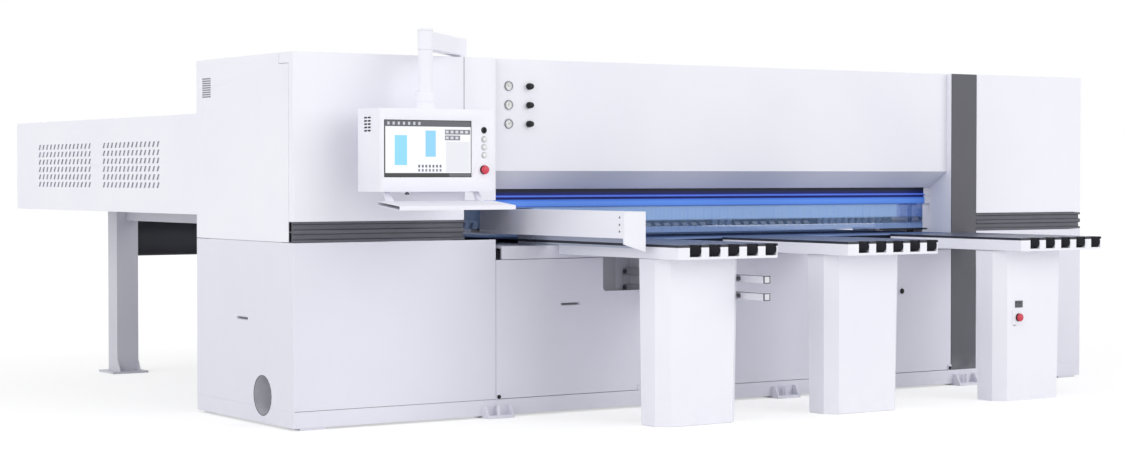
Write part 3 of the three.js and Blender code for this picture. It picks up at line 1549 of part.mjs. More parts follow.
// Control terminal: swing arm on the roof, drop pipe, housing, display, buttons and tray
const pipeX = 609;
const pipeY = -300;
const armLift = 12;
const armDepth = 96;
const armLow = machineHeight + armLift;
const armHigh = armLow + armDepth;
const armWidth = 64;
const armHubRadius = 46;
const armPinRadius = 16;
const knuckleRise = 13;
const knuckleHigh = armHigh + knuckleRise;
const knuckleSize = 82;
const pipeRadius = 37.5;
const pipeWall = 4;
const flangeRadius = 60;
const flangeHeight = 46;
const coneHeight = 26;
const terminalDrop = 306;
const terminalLeftReach = 322;
const terminalRightReach = 361;
const terminalHeight = 425;
const terminalTop = armLow - terminalDrop;
const terminalLeft = pipeX - terminalLeftReach;
const terminalRight = pipeX + terminalRightReach;
const terminalFront = -400;
const terminalBack = -160;
const terminalBottom = terminalTop - terminalHeight;
const terminalEdge = 8;
const terminalWall = 3;
const screenMargins = [23, 144, 74, 59];
const screenLeft = terminalLeft + screenMargins[0];
const screenRight = terminalRight - screenMargins[1];
const screenLow = terminalBottom + screenMargins[2];
const screenHigh = terminalTop - screenMargins[3];
const screenInset = 2;
const screenThickness = 9;
const cableHoleRadius = 25;
const terminalUnit = unit(pipeX, pipeY, 0);

function swingArm() {
  const start = new THREE.Vector2(bossX, bossY);
  const end = new THREE.Vector2(pipeX, pipeY);
  const along = end.clone().sub(start).normalize();
  const across = new THREE.Vector2(-along.y, along.x).multiplyScalar(armWidth / 2);
  const low = machineHeight + bossHeight + seatGap;
  const outline = [
    [start.x + across.x, start.y + across.y], [start.x - across.x, start.y - across.y],
    [end.x - across.x, end.y - across.y], [end.x + across.x, end.y + across.y],
  ];
  return join([
    prism('z', outline, armLow, armHigh),
    cylinder('z', start.x, start.y, armHubRadius, low, armHigh, latheSteps),
    cylinder('z', end.x, end.y, knuckleSize / 2, armLow, armHigh, latheSteps),
  ]).subtract(cylinder('z', end.x, end.y, armPinRadius + runGap * 2, armLow - overrun,
    armHigh + overrun));
}
add('swing_arm', swingArm(), white);

function dropPipe() {
  const high = armLow - seatGap;
  const flangeTop = terminalTop + seatGap + flangeHeight;
  const capLow = armHigh + seatGap;
  return turned('z', 0, 0, [
    [terminalTop + seatGap, pipeRadius - pipeWall], [terminalTop + seatGap, flangeRadius],
    [flangeTop, flangeRadius], [flangeTop + coneHeight, pipeRadius], [high, pipeRadius],
    [high, armPinRadius], [capLow, armPinRadius], [capLow, knuckleSize / 2],
    [knuckleHigh, knuckleSize / 2], [knuckleHigh, 0], [high - plate, 0],
    [high - plate, pipeRadius - pipeWall], [terminalTop + seatGap, pipeRadius - pipeWall],
  ], latheSteps);
}
add('drop_pipe', dropPipe(), white, terminalUnit);

const buttonInset = 69;
const buttonX = terminalRight - buttonInset;
const selectorDrop = 107;
const selectorZ = terminalTop - selectorDrop;
const pushDrops = [154, 195, 236];
const pushHeights = pushDrops.map((drop) => terminalTop - drop);
const terminalStopDrop = 312;
const terminalStopZ = terminalTop - terminalStopDrop;
const buttonRadius = 12;
const buttonStemRadius = 7;
const buttonProud = 5;
const buttonHead = 6;
const buttonStemLength = 16;
const selectorBar = 5;

function terminalHousing() {
  const x0 = terminalLeft - pipeX;
  const x1 = terminalRight - pipeX;
  const y0 = terminalFront - pipeY;
  const y1 = terminalBack - pipeY;
  const outline = roundedRectangle(x0, x1, y0, y1, terminalEdge, 3);
  const body = prism('z', outline, terminalBottom, terminalTop);
  const inner = block(x0 + terminalWall, x1 - terminalWall, y0 + screenInset + screenThickness
    + 2 * terminalWall, y1 - terminalWall, terminalBottom + terminalWall, terminalTop - terminalWall);
  const tools = [
    inner,
    cylinder('z', 0, 0, cableHoleRadius, terminalTop - terminalWall - overrun,
      terminalTop + overrun, latheSteps),
    block(screenLeft - pipeX, screenRight - pipeX, y0 - overrun, y0 + screenInset
      + screenThickness, screenLow, screenHigh),
  ];
  const depth = screenInset + screenThickness + 2 * terminalWall + overrun;
  for (const z of [selectorZ, ...pushHeights]) {
    tools.push(cylinder('y', buttonX - pipeX, z, buttonStemRadius + runGap, y0 - overrun,
      y0 + depth, smallSteps));
  }
  tools.push(cylinder('y', buttonX - pipeX, terminalStopZ, stopStemRadius + runGap,
    y0 - overrun, y0 + depth, smallSteps));
  return cut(body, tools);
}
add('terminal_housing', terminalHousing(), white, terminalUnit);

function display() {
  const y0 = terminalFront - pipeY + screenInset;
  return block(screenLeft - pipeX + seatGap, screenRight - pipeX - seatGap, y0,
    y0 + screenThickness - seatGap, screenLow + seatGap, screenHigh - seatGap);
}
add('display', display(), glass, terminalUnit);

const buttonEdgeShares = [0.85, 0.7];
const selectorBarShare = 0.9;

function pushButton() {
  const [across, deep] = buttonEdgeShares;
  return turned('y', 0, 0, [
    [-buttonProud - buttonHead, 0], [-buttonProud - buttonHead, buttonRadius * across],
    [-buttonProud - buttonHead * deep, buttonRadius], [-buttonProud, buttonRadius],
    [-buttonProud, buttonStemRadius], [buttonStemLength, buttonStemRadius],
    [buttonStemLength, 0],
  ], latheSteps);
}

function selectorSwitch() {
  return join([
    pushButton(),
    block(-selectorBar / 2, selectorBar / 2, -buttonProud - buttonHead - selectorBar,
      -buttonProud - buttonHead / 2, -buttonRadius * selectorBarShare,
      buttonRadius * selectorBarShare),
  ]);
}

function controlUnit(z) {
  return unit(buttonX - pipeX, terminalFront - pipeY, z, terminalUnit);
}
add('selector_switch', selectorSwitch(), black, controlUnit(selectorZ));
pushHeights.forEach((z, i) => add(`push_button_${i + 1}`, pushButton(), pale, controlUnit(z)));
add('terminal_stop_button', stopButton(), red, controlUnit(terminalStopZ));

// Keyboard tray: shallow tilted tray on two arms under the housing
const trayFront = -600;
const trayBack = -372;
const trayDrop = 91;
const trayFrontZ = terminalBottom - trayDrop;
const trayDepthRise = 22;
const trayThickness = 22;
const traySheet = 2.5;
const trayArmWidth = 30;
const trayArmInset = 60;
const trayArmY = -330;

function keyboardTray() {
  const x0 = terminalLeft - pipeX;
  const x1 = terminalRight - pipeX;
  const y0 = trayFront - pipeY;
  const y1 = trayBack - pipeY;
  const outline = [
    [y0, trayFrontZ], [y1, trayFrontZ + trayDepthRise], [y1, trayFrontZ + trayDepthRise + trayThickness],
    [y0, trayFrontZ + trayThickness],
  ];
  const inner = [
    [y0 + traySheet, trayFrontZ + traySheet], [y1 - traySheet, trayFrontZ + trayDepthRise + traySheet],
    [y1 - traySheet, trayFrontZ + trayDepthRise + trayThickness - traySheet],
    [y0 + traySheet, trayFrontZ + trayThickness - traySheet],
  ];
  const armTop = terminalBottom - seatGap;
  const arms = [x0 + trayArmInset, x1 - trayArmInset - trayArmWidth].map((x) => prism('x', [
    [y1 - plate, trayFrontZ + trayDepthRise + traySheet], [y1 + plate, trayFrontZ + trayDepthRise],
    [trayArmY - pipeY + plate, armTop - sheet], [trayArmY - pipeY + plate * 4, armTop - sheet],
    [trayArmY - pipeY + plate * 4, armTop], [trayArmY - pipeY, armTop],
    [y1 - plate, trayFrontZ + trayDepthRise + trayThickness - traySheet / 2],
  ], x, x + trayArmWidth));
  return join([prism('x', outline, x0, x1, [inner]), ...arms]);
}
add('keyboard_tray', keyboardTray(), white, terminalUnit);

export default group;
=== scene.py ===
import math

import bmesh
import bpy
import numpy as np
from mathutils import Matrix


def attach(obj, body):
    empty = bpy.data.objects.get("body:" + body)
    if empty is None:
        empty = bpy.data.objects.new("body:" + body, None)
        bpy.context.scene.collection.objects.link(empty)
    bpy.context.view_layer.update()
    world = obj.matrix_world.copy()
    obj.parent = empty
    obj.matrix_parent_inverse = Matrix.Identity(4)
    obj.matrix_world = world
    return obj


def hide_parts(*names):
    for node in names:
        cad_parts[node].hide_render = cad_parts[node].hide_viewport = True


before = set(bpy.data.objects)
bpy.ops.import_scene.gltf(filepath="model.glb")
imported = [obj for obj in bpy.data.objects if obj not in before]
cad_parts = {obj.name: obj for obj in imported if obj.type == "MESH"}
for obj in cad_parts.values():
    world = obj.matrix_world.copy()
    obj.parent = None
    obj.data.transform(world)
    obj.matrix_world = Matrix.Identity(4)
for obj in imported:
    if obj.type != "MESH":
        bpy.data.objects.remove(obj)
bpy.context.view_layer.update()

# Studio
# Plain pale floor and white surroundings, a soft key light from the front right, a side light
# from the left and an even fill, with the camera where the photograph was taken from.
MACHINE_ORIGIN = np.array([2859.0, 1455.0, 0.0])
CAMERA_PLACE = (-8.058, -11.766, 1.311)
CAMERA_YAW, CAMERA_PITCH = 33.619, -1.25
CAMERA_LENS, SENSOR_WIDTH = 71.66, 36.0
CAMERA_REACH = 200.0
FLOOR_HALF = 60000.0
# Name, strength, softness and turn of each sun
SUNS = [("key_light", 0.95, 50.0, (74.0, 0.0, 30.0)), ("side_light", 1.06, 60.0, (78.0, 0.0, -78.0))]
SKY_STRENGTH = 0.705
WHITE = (1.0, 1.0, 1.0, 1.0)
FLOOR_COLOUR = (0.86, 0.86, 0.87, 1.0)
FLOOR_SEEN = (0.55, 0.55, 0.55, 1.0)
FLOOR_GLOW = 0.56
SHARP_FROM = math.radians(35.0)
DOUBLES_WITHIN = 0.000001

scene = bpy.context.scene
scene.view_settings.view_transform = "Standard"

lens = bpy.data.cameras.new("photo_camera")
lens.lens = CAMERA_LENS
lens.sensor_width = SENSOR_WIDTH
lens.clip_end = CAMERA_REACH
photo_camera = bpy.data.objects.new("photo_camera", lens)
photo_camera.location = CAMERA_PLACE
photo_camera.rotation_euler = (math.radians(90 + CAMERA_PITCH), 0, math.radians(-CAMERA_YAW))
scene.collection.objects.link(photo_camera)
scene.camera = photo_camera

for name, strength, softness, turn in SUNS:
    lamp = bpy.data.lights.new(name, "SUN")
    lamp.energy = strength
    lamp.angle = math.radians(softness)
    light = bpy.data.objects.new(name, lamp)
    light.rotation_euler = tuple(math.radians(angle) for angle in turn)
    scene.collection.objects.link(light)


class Wire:
    """An output socket. Sums and products of wires add Math nodes to their tree."""

    def __init__(self, tree, socket=None):
        self.tree = tree
        self.socket = socket

    def node(self, kind, settings=None, inputs=None, output=0):
        """Adds a node of that kind: its settings first, then its sockets' values or links.
        Gives the named output, or one wire for each name in a tuple."""
        made = self.tree.nodes.new(kind)
        for name, value in (settings or {}).items():
            if name == "stops":
                while len(made.color_ramp.elements) < len(value):
                    made.color_ramp.elements.new(1.0)
                for element, (place, shade) in zip(made.color_ramp.elements, value):
                    element.position = place
                    element.color = shade
            else:
                setattr(made, name, value)
        for name, value in (inputs or {}).items():
            if isinstance(value, Wire):
                self.tree.links.new(value.socket, made.inputs[name])
            else:
                made.inputs[name].default_value = value
        if isinstance(output, tuple):
            return [Wire(self.tree, made.outputs[name]) for name in output]
        return Wire(self.tree, made.outputs[output])

    def math(self, operation, *values):
        """Math node of that operation on numbers or wires."""
        return self.node("ShaderNodeMath", {"operation": operation}, dict(enumerate(values)))

    def __add__(self, other):
        return self.math("ADD", self, other)

    __radd__ = __add__

    def __sub__(self, other):
        return self.math("SUBTRACT", self, other)

    def __rsub__(self, other):
        return self.math("SUBTRACT", other, self)

    def __mul__(self, other):
        return self.math("MULTIPLY", self, other)

    __rmul__ = __mul__

    def __mod__(self, other):
        return self.math("MODULO", self, other)

    def __rmod__(self, other):
        return self.math("MODULO", other, self)

    def __gt__(self, other):
        return self.math("GREATER_THAN", self, other)

    def __lt__(self, other):
        return self.math("LESS_THAN", self, other)

    def mix(self, low, high):
        """Colour that goes from low to high as this value goes from 0 to 1."""
        return self.node("ShaderNodeMix", {"data_type": "RGBA"},
                         {"Factor": self, 6: low, 7: high}, output=2)

    def between(self, low, high):
        """1 where this value lies between low and high, else 0."""
        return (self > low) * (self < high)

    def spread(self, low, high):
        """This value stretched so that low becomes 0 and high becomes 1, held within both."""
        return self.node("ShaderNodeMapRange", {"clamp": True},
                         {"Value": self, "From Min": low, "From Max": high})


def blank(holder):
    """Empties the node tree of a material or world and gives a wire to start from."""
    holder.use_nodes = True
    holder.node_tree.nodes.clear()
    return Wire(holder.node_tree)


def seen_directly(start):
    """1 for the camera, in gloss and through glass, else 0."""
    camera, gloss, through = start.node("ShaderNodeLightPath", output=(
        "Is Camera Ray", "Is Glossy Ray", "Is Transmission Ray"))
    return start.math("MAXIMUM", start.math("MAXIMUM", camera, gloss), through)


def closed_mesh(name, points, faces):
    """Object from points in the machine's millimetres: p goes to (p - origin) / 1000. Doubles
    are merged, faces are turned outwards, and edges sharper than 35 degrees stay crisp."""
    mesh = bpy.data.meshes.new(name)
    metres = (np.asarray(points, float).reshape(-1, 3) - MACHINE_ORIGIN) / 1000.0
    mesh.from_pydata(metres.tolist(), [], [tuple(map(int, face)) for face in faces])
    shell = bmesh.new()
    shell.from_mesh(mesh)
    bmesh.ops.remove_doubles(shell, verts=shell.verts, dist=DOUBLES_WITHIN)
    bmesh.ops.recalc_face_normals(shell, faces=shell.faces)
    shell.to_mesh(mesh)
    shell.free()
    mesh.shade_smooth()
    mesh.set_sharp_from_angle(angle=SHARP_FROM)
    piece = bpy.data.objects.new(name, mesh)
    scene.collection.objects.link(piece)
    return piece


studio_world = bpy.data.worlds.new("studio_world")
start = blank(studio_world)
fill = start.node("ShaderNodeBackground", {}, {"Color": WHITE, "Strength": SKY_STRENGTH})
white = start.node("ShaderNodeBackground", {}, {"Color": WHITE, "Strength": 1.0})
both = start.node("ShaderNodeMixShader", {}, {"Fac": seen_directly(start), 1: fill, 2: white})
start.node("ShaderNodeOutputWorld", {}, {"Surface": both}, output=())
scene.world = studio_world

floor_material = bpy.data.materials.new("studio_floor")
start = blank(floor_material)
seen = seen_directly(start)
matte = start.node("ShaderNodeBsdfDiffuse", {}, {"Color": seen.mix(FLOOR_COLOUR, FLOOR_SEEN)})
glow = start.node("ShaderNodeEmission", {}, {"Color": WHITE, "Strength": seen * FLOOR_GLOW})
pale = start.node("ShaderNodeAddShader", {}, {0: matte, 1: glow})
start.node("ShaderNodeOutputMaterial", {}, {"Surface": pale}, output=())
floor_corners = [(x * FLOOR_HALF, y * FLOOR_HALF, 0) for x, y in ((-1, -1), (1, -1), (1, 1), (-1, 1))]
floor = closed_mesh("studio_floor", floor_corners, [(0, 1, 2, 3)])
floor.data.materials.append(floor_material)


# Powder-coated steelwork
# Folded and welded sheet steel, sprayed with white powder and baked: a faintly pebbled,
# semi-gloss skin that is a little dusty towards the floor. The sheets' folds are rounded.
def paint(red, green, blue):
    """Screen colour, 0 to 255 each, as the linear colour that a shader takes: the screen's
    straight toe, then its power curve."""
    shares = np.array([red, green, blue]) / 255.0
    linear = np.where(shares <= 0.04045, shares / 12.92, ((shares + 0.055) / 1.055) ** 2.4)
    return (*map(float, linear), 1.0)


WHITE_COAT, WHITE_SHADE = (243, 243, 250), (239, 239, 248)
DUST = paint(216, 216, 222)
DUST_TOP = 0.2
SHEET_ROUND = 1.5
ROUND_STEPS = 2
ROUND_FROM = math.radians(40.0)
WELD_WITHIN = 0.00005


def start_finish(name):
    """A new, empty material and the wire of its Object coordinates."""
    material = bpy.data.materials.new(name)
    return material, blank(material).node("ShaderNodeTexCoord", output="Object")


def end_finish(material, place, sockets):
    """Ends a material in one Principled shader that takes these values and wires."""
    shader = place.node("ShaderNodeBsdfPrincipled", {}, sockets)
    place.node("ShaderNodeOutputMaterial", {}, {"Surface": shader}, output=())
    return material


def axes(place, letters):
    """One wire for each axis that the letters name."""
    return place.node("ShaderNodeSeparateXYZ", {}, {"Vector": place}, output=tuple(letters))


def noise(place, scale, detail):
    """Cloudy noise: most of it lies between 0.3 and 0.7."""
    return place.node("ShaderNodeTexNoise", {}, {"Vector": place, "Scale": scale, "Detail": detail})


def drift(cloud, colour, shade):
    """Colour that wanders from one screen colour to another as the noise does."""
    return cloud.spread(0.3, 0.7).mix(paint(*colour), paint(*shade))


def skin(height, strength, depth):
    """Normal of a skin that rises with a wire by up to the depth, in metres."""
    return height.node("ShaderNodeBump", {}, {"Height": height, "Strength": strength, "Distance": depth})


def coated(name, colour, shade, roughness=0.42, dust=0.25):
    """Powder coat: cloudy drift between two near colours, dust that thins with height over the
    floor, a pebbled skin and duller handled patches."""
    material, place = start_finish(name)
    height, = axes(place, "Z")
    cloud = noise(place, scale=1.3, detail=4.0)
    fine = noise(place, scale=14.0, detail=3.0)
    low = (1 - height.spread(0.0, DUST_TOP)) * fine.spread(0.3, 0.8) * dust
    return end_finish(material, place, {
        "Base Color": low.mix(drift(cloud, colour, shade), DUST),
        "Roughness": roughness + cloud.spread(0.4, 0.8) * 0.06 + low * 0.3,
        "Normal": skin(noise(place, scale=600.0, detail=1.0), 0.12, 0.0004), "IOR": 1.45})


def rounded(piece, width):
    """Rounds the edges sharper than 40 degrees by a width in millimetres."""
    bevel = piece.modifiers.new("rounded_edges", "BEVEL")
    bevel.width = width / 1000.0
    bevel.segments = ROUND_STEPS
    bevel.limit_method = "ANGLE"
    bevel.angle_limit = ROUND_FROM
    bevel.miter_outer = "MITER_ARC"
    bevel.harden_normals = True


def dress(names, finish, bevel=0.0):
    """Finishes CAD nodes as they are: their loose triangles are welded before edges are rounded."""
    for name in names:
        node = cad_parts[name]
        node.data.materials.clear()
        node.data.materials.append(finish)
        if bevel:
            weld = node.modifiers.new("welded", "WELD")
            weld.merge_threshold = WELD_WITHIN
            rounded(node, bevel)


white_coat = coated("white_powder_coat", WHITE_COAT, WHITE_SHADE)
# A greyer copy of the white coat, partly a second paint tone and partly painted shade: it darkens the
# frames, plinth, lower cabinets, lower panels and the tray bracket.
pale_coat_and_painted_shade = coated("pale_grey_coat_and_painted_shade", (230, 230, 240), (225, 225, 236))
# The rear stands' coat is greyer than the white coat as painted shade for their shaded broad faces.
stand_coat_painted_shade = coated("stand_coat_with_painted_shade", (206, 206, 215), (200, 200, 210))
dark_coat = coated("dark_grey_powder_coat", (92, 91, 99), (86, 86, 94), roughness=0.5, dust=0.3)
frame_coat = coated("anthracite_paint", (58, 59, 66), (50, 51, 58), roughness=0.48, dust=0.4)
dress(["right_upper_cabinet", "left_upper_cover", "rear_panel", "hood"], white_coat, SHEET_ROUND)
dress(["base_frame", "main_frame", "left_lower_cabinet", "right_lower_cabinet",
       "lower_panel_left", "lower_panel_middle", "lower_panel_right"], pale_coat_and_painted_shade, SHEET_ROUND)
dress(["rear_stand_left", "rear_stand_right"], stand_coat_painted_shade, SHEET_ROUND)
dress(["column"], dark_coat, SHEET_ROUND)
dress(["rear_cross_beam"], frame_coat, SHEET_ROUND)


# Dust outlet
# Round extraction duct of rolled sheet through the left side, with a rolled rim, a rubber gasket
# in its mouth and a slide gate a hand's width inside. The rim is crimped over the cabinet's skin.
DUCT_BORE, DUCT_SKIN, DUCT_END = 103.0, 108.0, 620.0
DUCT_STEPS = 72
GATE_X, GATE_DEEP = 150.0, 7.0


def middle(node):
    """Middle of a CAD node's extent in the machine's millimetres, to a hundredth."""
    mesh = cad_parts[node].data
    corners = np.empty(len(mesh.vertices) * 3)
    mesh.vertices.foreach_get("co", corners)
    points = corners.reshape(-1, 3) * 1000.0 + MACHINE_ORIGIN
    return np.round((points.min(axis=0) + points.max(axis=0)) / 2, 2)


def rings_mesh(rings, loop=False):
    """Points and faces of a skin over rings, an array of m rings of k points: quad (i, j) joins
    points j and j+1 of rings i and i+1. Open ends are closed by their own ring."""
    rings = np.asarray(rings, float)
    count, size = rings.shape[:2]
    i = np.arange(count if loop else count - 1)[:, None]
    j = np.arange(size)[None, :]
    low, high = i * size, (i + 1) % count * size
    after = (j + 1) % size
    quads = np.stack([low + j, low + after, high + after, high + j], axis=-1).reshape(-1, 4)
    faces = quads.tolist()
    if not loop:
        faces += [list(range(size))[::-1], list(range((count - 1) * size, count * size))]
    return rings.reshape(-1, 3), faces


def turned_mesh(axis, centre, profile, steps=48, loop=False):
    """Points and faces of a body turned about an axis through centre: profile row (a, r) makes
    the ring centre + a on the axis + r (cos t, sin t) across it."""
    turn = np.linspace(0, 2 * np.pi, steps, endpoint=False)
    rows = np.asarray(profile, float)
    main = "xyz".index(axis)
    across = [k for k in range(3) if k != main]
    rings = np.zeros((len(rows), steps, 3)) + np.asarray(centre, float)
    rings[:, :, main] += rows[:, 0, None]
    rings[:, :, across[0]] += rows[:, 1, None] * np.cos(turn)
    rings[:, :, across[1]] += rows[:, 1, None] * np.sin(turn)
    return rings_mesh(rings, loop)


def moulded(name, colour, shade, roughness=0.35, grain=180.0, relief=0.08, gleam=0.5):
    """Moulding or lacquer: a fine even grain under a gloss that drifts slowly."""
    material, place = start_finish(name)
    cloud = noise(place, scale=12.0, detail=3.0)
    return end_finish(material, place, {
        "Base Color": drift(cloud, colour, shade),
        "Roughness": roughness + (cloud - 0.5) * 0.14,
        "Normal": skin(noise(place, grain, detail=2.0), relief, 0.0004), "Specular IOR Level": gleam})


def fitted(piece, body, finish, bevel=0.0, replaces=()):
    """Gives a piece its finish, the body it rides on and the CAD nodes that it stands for."""
    piece.data.materials.clear()
    piece.data.materials.append(finish)
    if bevel:
        rounded(piece, bevel)
    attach(piece, body)
    if replaces:
        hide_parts(*replaces)


def new_piece(name, mesh, body, finish, bevel=0.0, replaces=()):
    """A closed piece from points and faces, fitted to its body."""
    fitted(closed_mesh(name, *mesh), body, finish, bevel, replaces)


duct_axis = (0.0, *middle("dust_outlet")[1:])
duct_sheet = moulded("duct_sheet", (206, 207, 213), (188, 189, 196), roughness=0.4)
duct_profile = [(2, DUCT_BORE + 0.4), (0.6, DUCT_BORE + 2), (0.4, DUCT_SKIN), (2.2, DUCT_SKIN + 1.4),
                (4, DUCT_SKIN + 0.2), (DUCT_END, DUCT_SKIN), (DUCT_END, DUCT_BORE), (6, DUCT_BORE)]
new_piece("extraction_duct", turned_mesh("x", duct_axis, duct_profile, DUCT_STEPS, loop=True),
          "machine", duct_sheet, replaces=["dust_outlet"])
gate_profile = [(GATE_X, 0.5), (GATE_X, 30), (GATE_X + 4, 34), (GATE_X + 4, 88), (GATE_X, 92),
                (GATE_X, DUCT_BORE + 0.4), (GATE_X + GATE_DEEP, DUCT_BORE + 0.4),
                (GATE_X + GATE_DEEP, 0.5)]
new_piece("extraction_gate", turned_mesh("x", duct_axis, gate_profile, DUCT_STEPS),
          "machine", duct_sheet)
duct_rubber = moulded("duct_rubber", (64, 64, 70), (54, 54, 60), roughness=0.6)
gasket_profile = [(0.1, 103.2), (0.1, 106.8), (1.4, 107.6), (1.4, 103.2)]
new_piece("duct_gasket", turned_mesh("x", duct_axis, gasket_profile, DUCT_STEPS, loop=True),
          "machine", duct_rubber)


# Finger cups and seals
# Grey plastic cups pressed into the finger slots of the left side and the left panel, and the
# dark seals in the joints round the left cover, over the rail and on the plinth.
CUP_WIDE, CUP_TALL = 104.0, 8.8
CUP_DEPTH = (2.5, 7.9)
SIDE_CUP_Y, SIDE_CUP_Z = 602.0, 553.0
PANEL_CUP_X, PANEL_CUP_Z = 1708.0, 603.0
# First and last x, y and z of each seal
COVER_SEAL = (1020.4, 1023.6, -0.5, 3.0, 1078.0, 1949.0)
RAIL_SEAL = (1.0, 1220.0, -0.3, 3.0, 1014.0, 1016.6)
PLINTH_SEAL = (8.0, 1220.0, -0.3, 3.0, 97.4, 100.0)


def boxes_mesh(corners):
    """Points and faces of boxes from rows x0, x1, y0, y1, z0, z1: corner (i, j, k) of each box
    takes the i-th x, the j-th y and the k-th z."""
    rows = np.asarray(corners, float).reshape(-1, 3, 2)
    pick = np.array([(i, j, k) for i in (0, 1) for j in (0, 1) for k in (0, 1)])
    points = np.stack([rows[:, axis, pick[:, axis]] for axis in range(3)], axis=-1)
    one = np.array([(0, 1, 3, 2), (4, 6, 7, 5), (0, 4, 5, 1), (2, 3, 7, 6), (0, 2, 6, 4),
                    (1, 5, 7, 3)])
    faces = (one[None] + 8 * np.arange(len(rows))[:, None, None]).reshape(-1, 4)
    return points.reshape(-1, 3), faces.tolist()


def around(centre, size):
    """First and last place of a size that is set about a centre."""
    return centre - size / 2, centre + size / 2


cup_grey = moulded("grey_moulding", (112, 112, 119), (98, 98, 106), roughness=0.5, gleam=0.3)
side_cup = boxes_mesh([(*CUP_DEPTH, *around(SIDE_CUP_Y, CUP_WIDE), *around(SIDE_CUP_Z, CUP_TALL))])
new_piece("side_finger_cup", side_cup, "machine", cup_grey, bevel=0.4)
panel_cup = boxes_mesh([(*around(PANEL_CUP_X, CUP_WIDE), *CUP_DEPTH, *around(PANEL_CUP_Z, CUP_TALL))])
new_piece("panel_finger_cup", panel_cup, "panel_left", cup_grey, bevel=0.4)
seals = boxes_mesh([COVER_SEAL, RAIL_SEAL, PLINTH_SEAL])
new_piece("cover_seal", seals, "machine", dark_coat)


# Left end vents
# Louvred slots punched through the skin of the left upper cabinet near its rear edge, over the
# drive box. The copy of the cabinet is cut where the punch went.
VENT_Y = (993.0, 1104.0)
VENT_ROWS = 1743.0 + 12.4 * np.arange(9)
VENT_TALL = 7.4
VENT_CUT = (-4.0, 8.0)
DRIVE_BOX_X, DRIVE_BOX_Z, DRIVE_BOX_LAP = (5.0, 90.0), (1730.0, 1862.0), 14.0
MERGED_WITHIN = 0.00002


def carved(node, name, cutters):
    """Copy of a CAD node with its doubles merged and closed cutters taken out of it."""
    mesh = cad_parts[node].data.copy()
    shell = bmesh.new()
    shell.from_mesh(mesh)
    bmesh.ops.remove_doubles(shell, verts=shell.verts, dist=MERGED_WITHIN)
    shell.to_mesh(mesh)
    shell.free()
    body = bpy.data.objects.new(name, mesh)
    scene.collection.objects.link(body)
    tool = closed_mesh(name + "_cutter", *cutters)
    cut = body.modifiers.new("cut", "BOOLEAN")
    cut.operation = "DIFFERENCE"
    cut.solver = "EXACT"
    cut.object = tool
    bpy.context.view_layer.update()
    reached = body.evaluated_get(bpy.context.evaluated_depsgraph_get())
    result = bpy.data.meshes.new_from_object(reached)
    body.modifiers.clear()
    body.data = result
    result.name = name
    bpy.data.objects.remove(tool)
    result.shade_smooth()
    result.set_sharp_from_angle(angle=SHARP_FROM)
    return body


grey_coat = coated("grey_powder_coat", (150, 150, 156), (142, 142, 149), roughness=0.5, dust=0.3)
vent_slots = boxes_mesh([(*VENT_CUT, *VENT_Y, z, z + VENT_TALL) for z in VENT_ROWS])
fitted(carved("left_upper_cabinet", "left_cabinet_shell", vent_slots), "machine",
       white_coat, SHEET_ROUND, ["left_upper_cabinet"])
drive_box = boxes_mesh([(*DRIVE_BOX_X, VENT_Y[0] - DRIVE_BOX_LAP, VENT_Y[1] + DRIVE_BOX_LAP,
                         *DRIVE_BOX_Z)])
new_piece("left_vent_duct", drive_box, "machine", grey_coat, bevel=1.0)


# Rear covers
# Long folded sheet covers over the pusher's guides, hung from the cabinets. Two blocks of
# leaning slots are punched in each outer side to let the drives' heat out through filter fleece.
SLOT_BLOCKS = [(1699.0, 2537.0), (2740.0, 3617.0)]
SLOT_LOW, SLOT_HIGH = 1243.0, 1512.0
SLOT_ROWS, SLOT_COLUMNS = 6, 14
SLOT_TALL_SHARE, SLOT_WIDE_SHARE, SLOT_LEAN_SHARE = 0.66, 0.44, 0.3
FILTER_LAP = 20.0
# Side, first and last x of its cut, and of its filter sheet
COVER_SIDES = [("left", (-5.0, 10.0), (7.5, 9.5)), ("right", (5708.0, 5723.0), (5708.5, 5710.5))]


def swept_mesh(axis, profile, places):
    """Points and faces of a profile carried straight along an axis: its rows are the two other
    coordinates in their order, repeated at each place."""
    rows = np.asarray(profile, float)
    main = "xyz".index(axis)
    across = [k for k in range(3) if k != main]
    rings = np.zeros((len(places), len(rows), 3))
    rings[:, :, main] = np.asarray(places, float)[:, None]
    rings[:, :, across[0]] = rows[:, 0]
    rings[:, :, across[1]] = rows[:, 1]
    return rings_mesh(rings)


def merged(parts):
    """One list of points and faces from several."""
    points, faces, offset = [], [], 0
    for part_points, part_faces in parts:
        points.append(np.asarray(part_points, float).reshape(-1, 3))
        faces += [[corner + offset for corner in face] for face in part_faces]
        offset += len(points[-1])
    return np.concatenate(points), faces


def leaning_slots(places):
    """Closed cutters: slot (i, j) is a parallelogram in Y and Z, carried between two places in
    X. Column j and row i step by their pitches, and the top leans forward by a share of it."""
    parts = []
    rise = (SLOT_HIGH - SLOT_LOW) / (SLOT_ROWS - 1 + SLOT_TALL_SHARE)
    for first, last in SLOT_BLOCKS:
        pitch = (last - first) / (SLOT_COLUMNS - 1 + SLOT_WIDE_SHARE)
        lean = SLOT_LEAN_SHARE * pitch / 2
        for row in range(SLOT_ROWS):
            z0 = SLOT_LOW + row * rise
            z1 = z0 + SLOT_TALL_SHARE * rise
            for column in range(SLOT_COLUMNS):
                y0 = first + column * pitch
                y1 = y0 + SLOT_WIDE_SHARE * pitch
                outline = [(y0 + lean, z0), (y1 + lean, z0), (y1 - lean, z1), (y0 - lean, z1)]
                parts.append(swept_mesh("x", outline, places))
    return merged(parts)


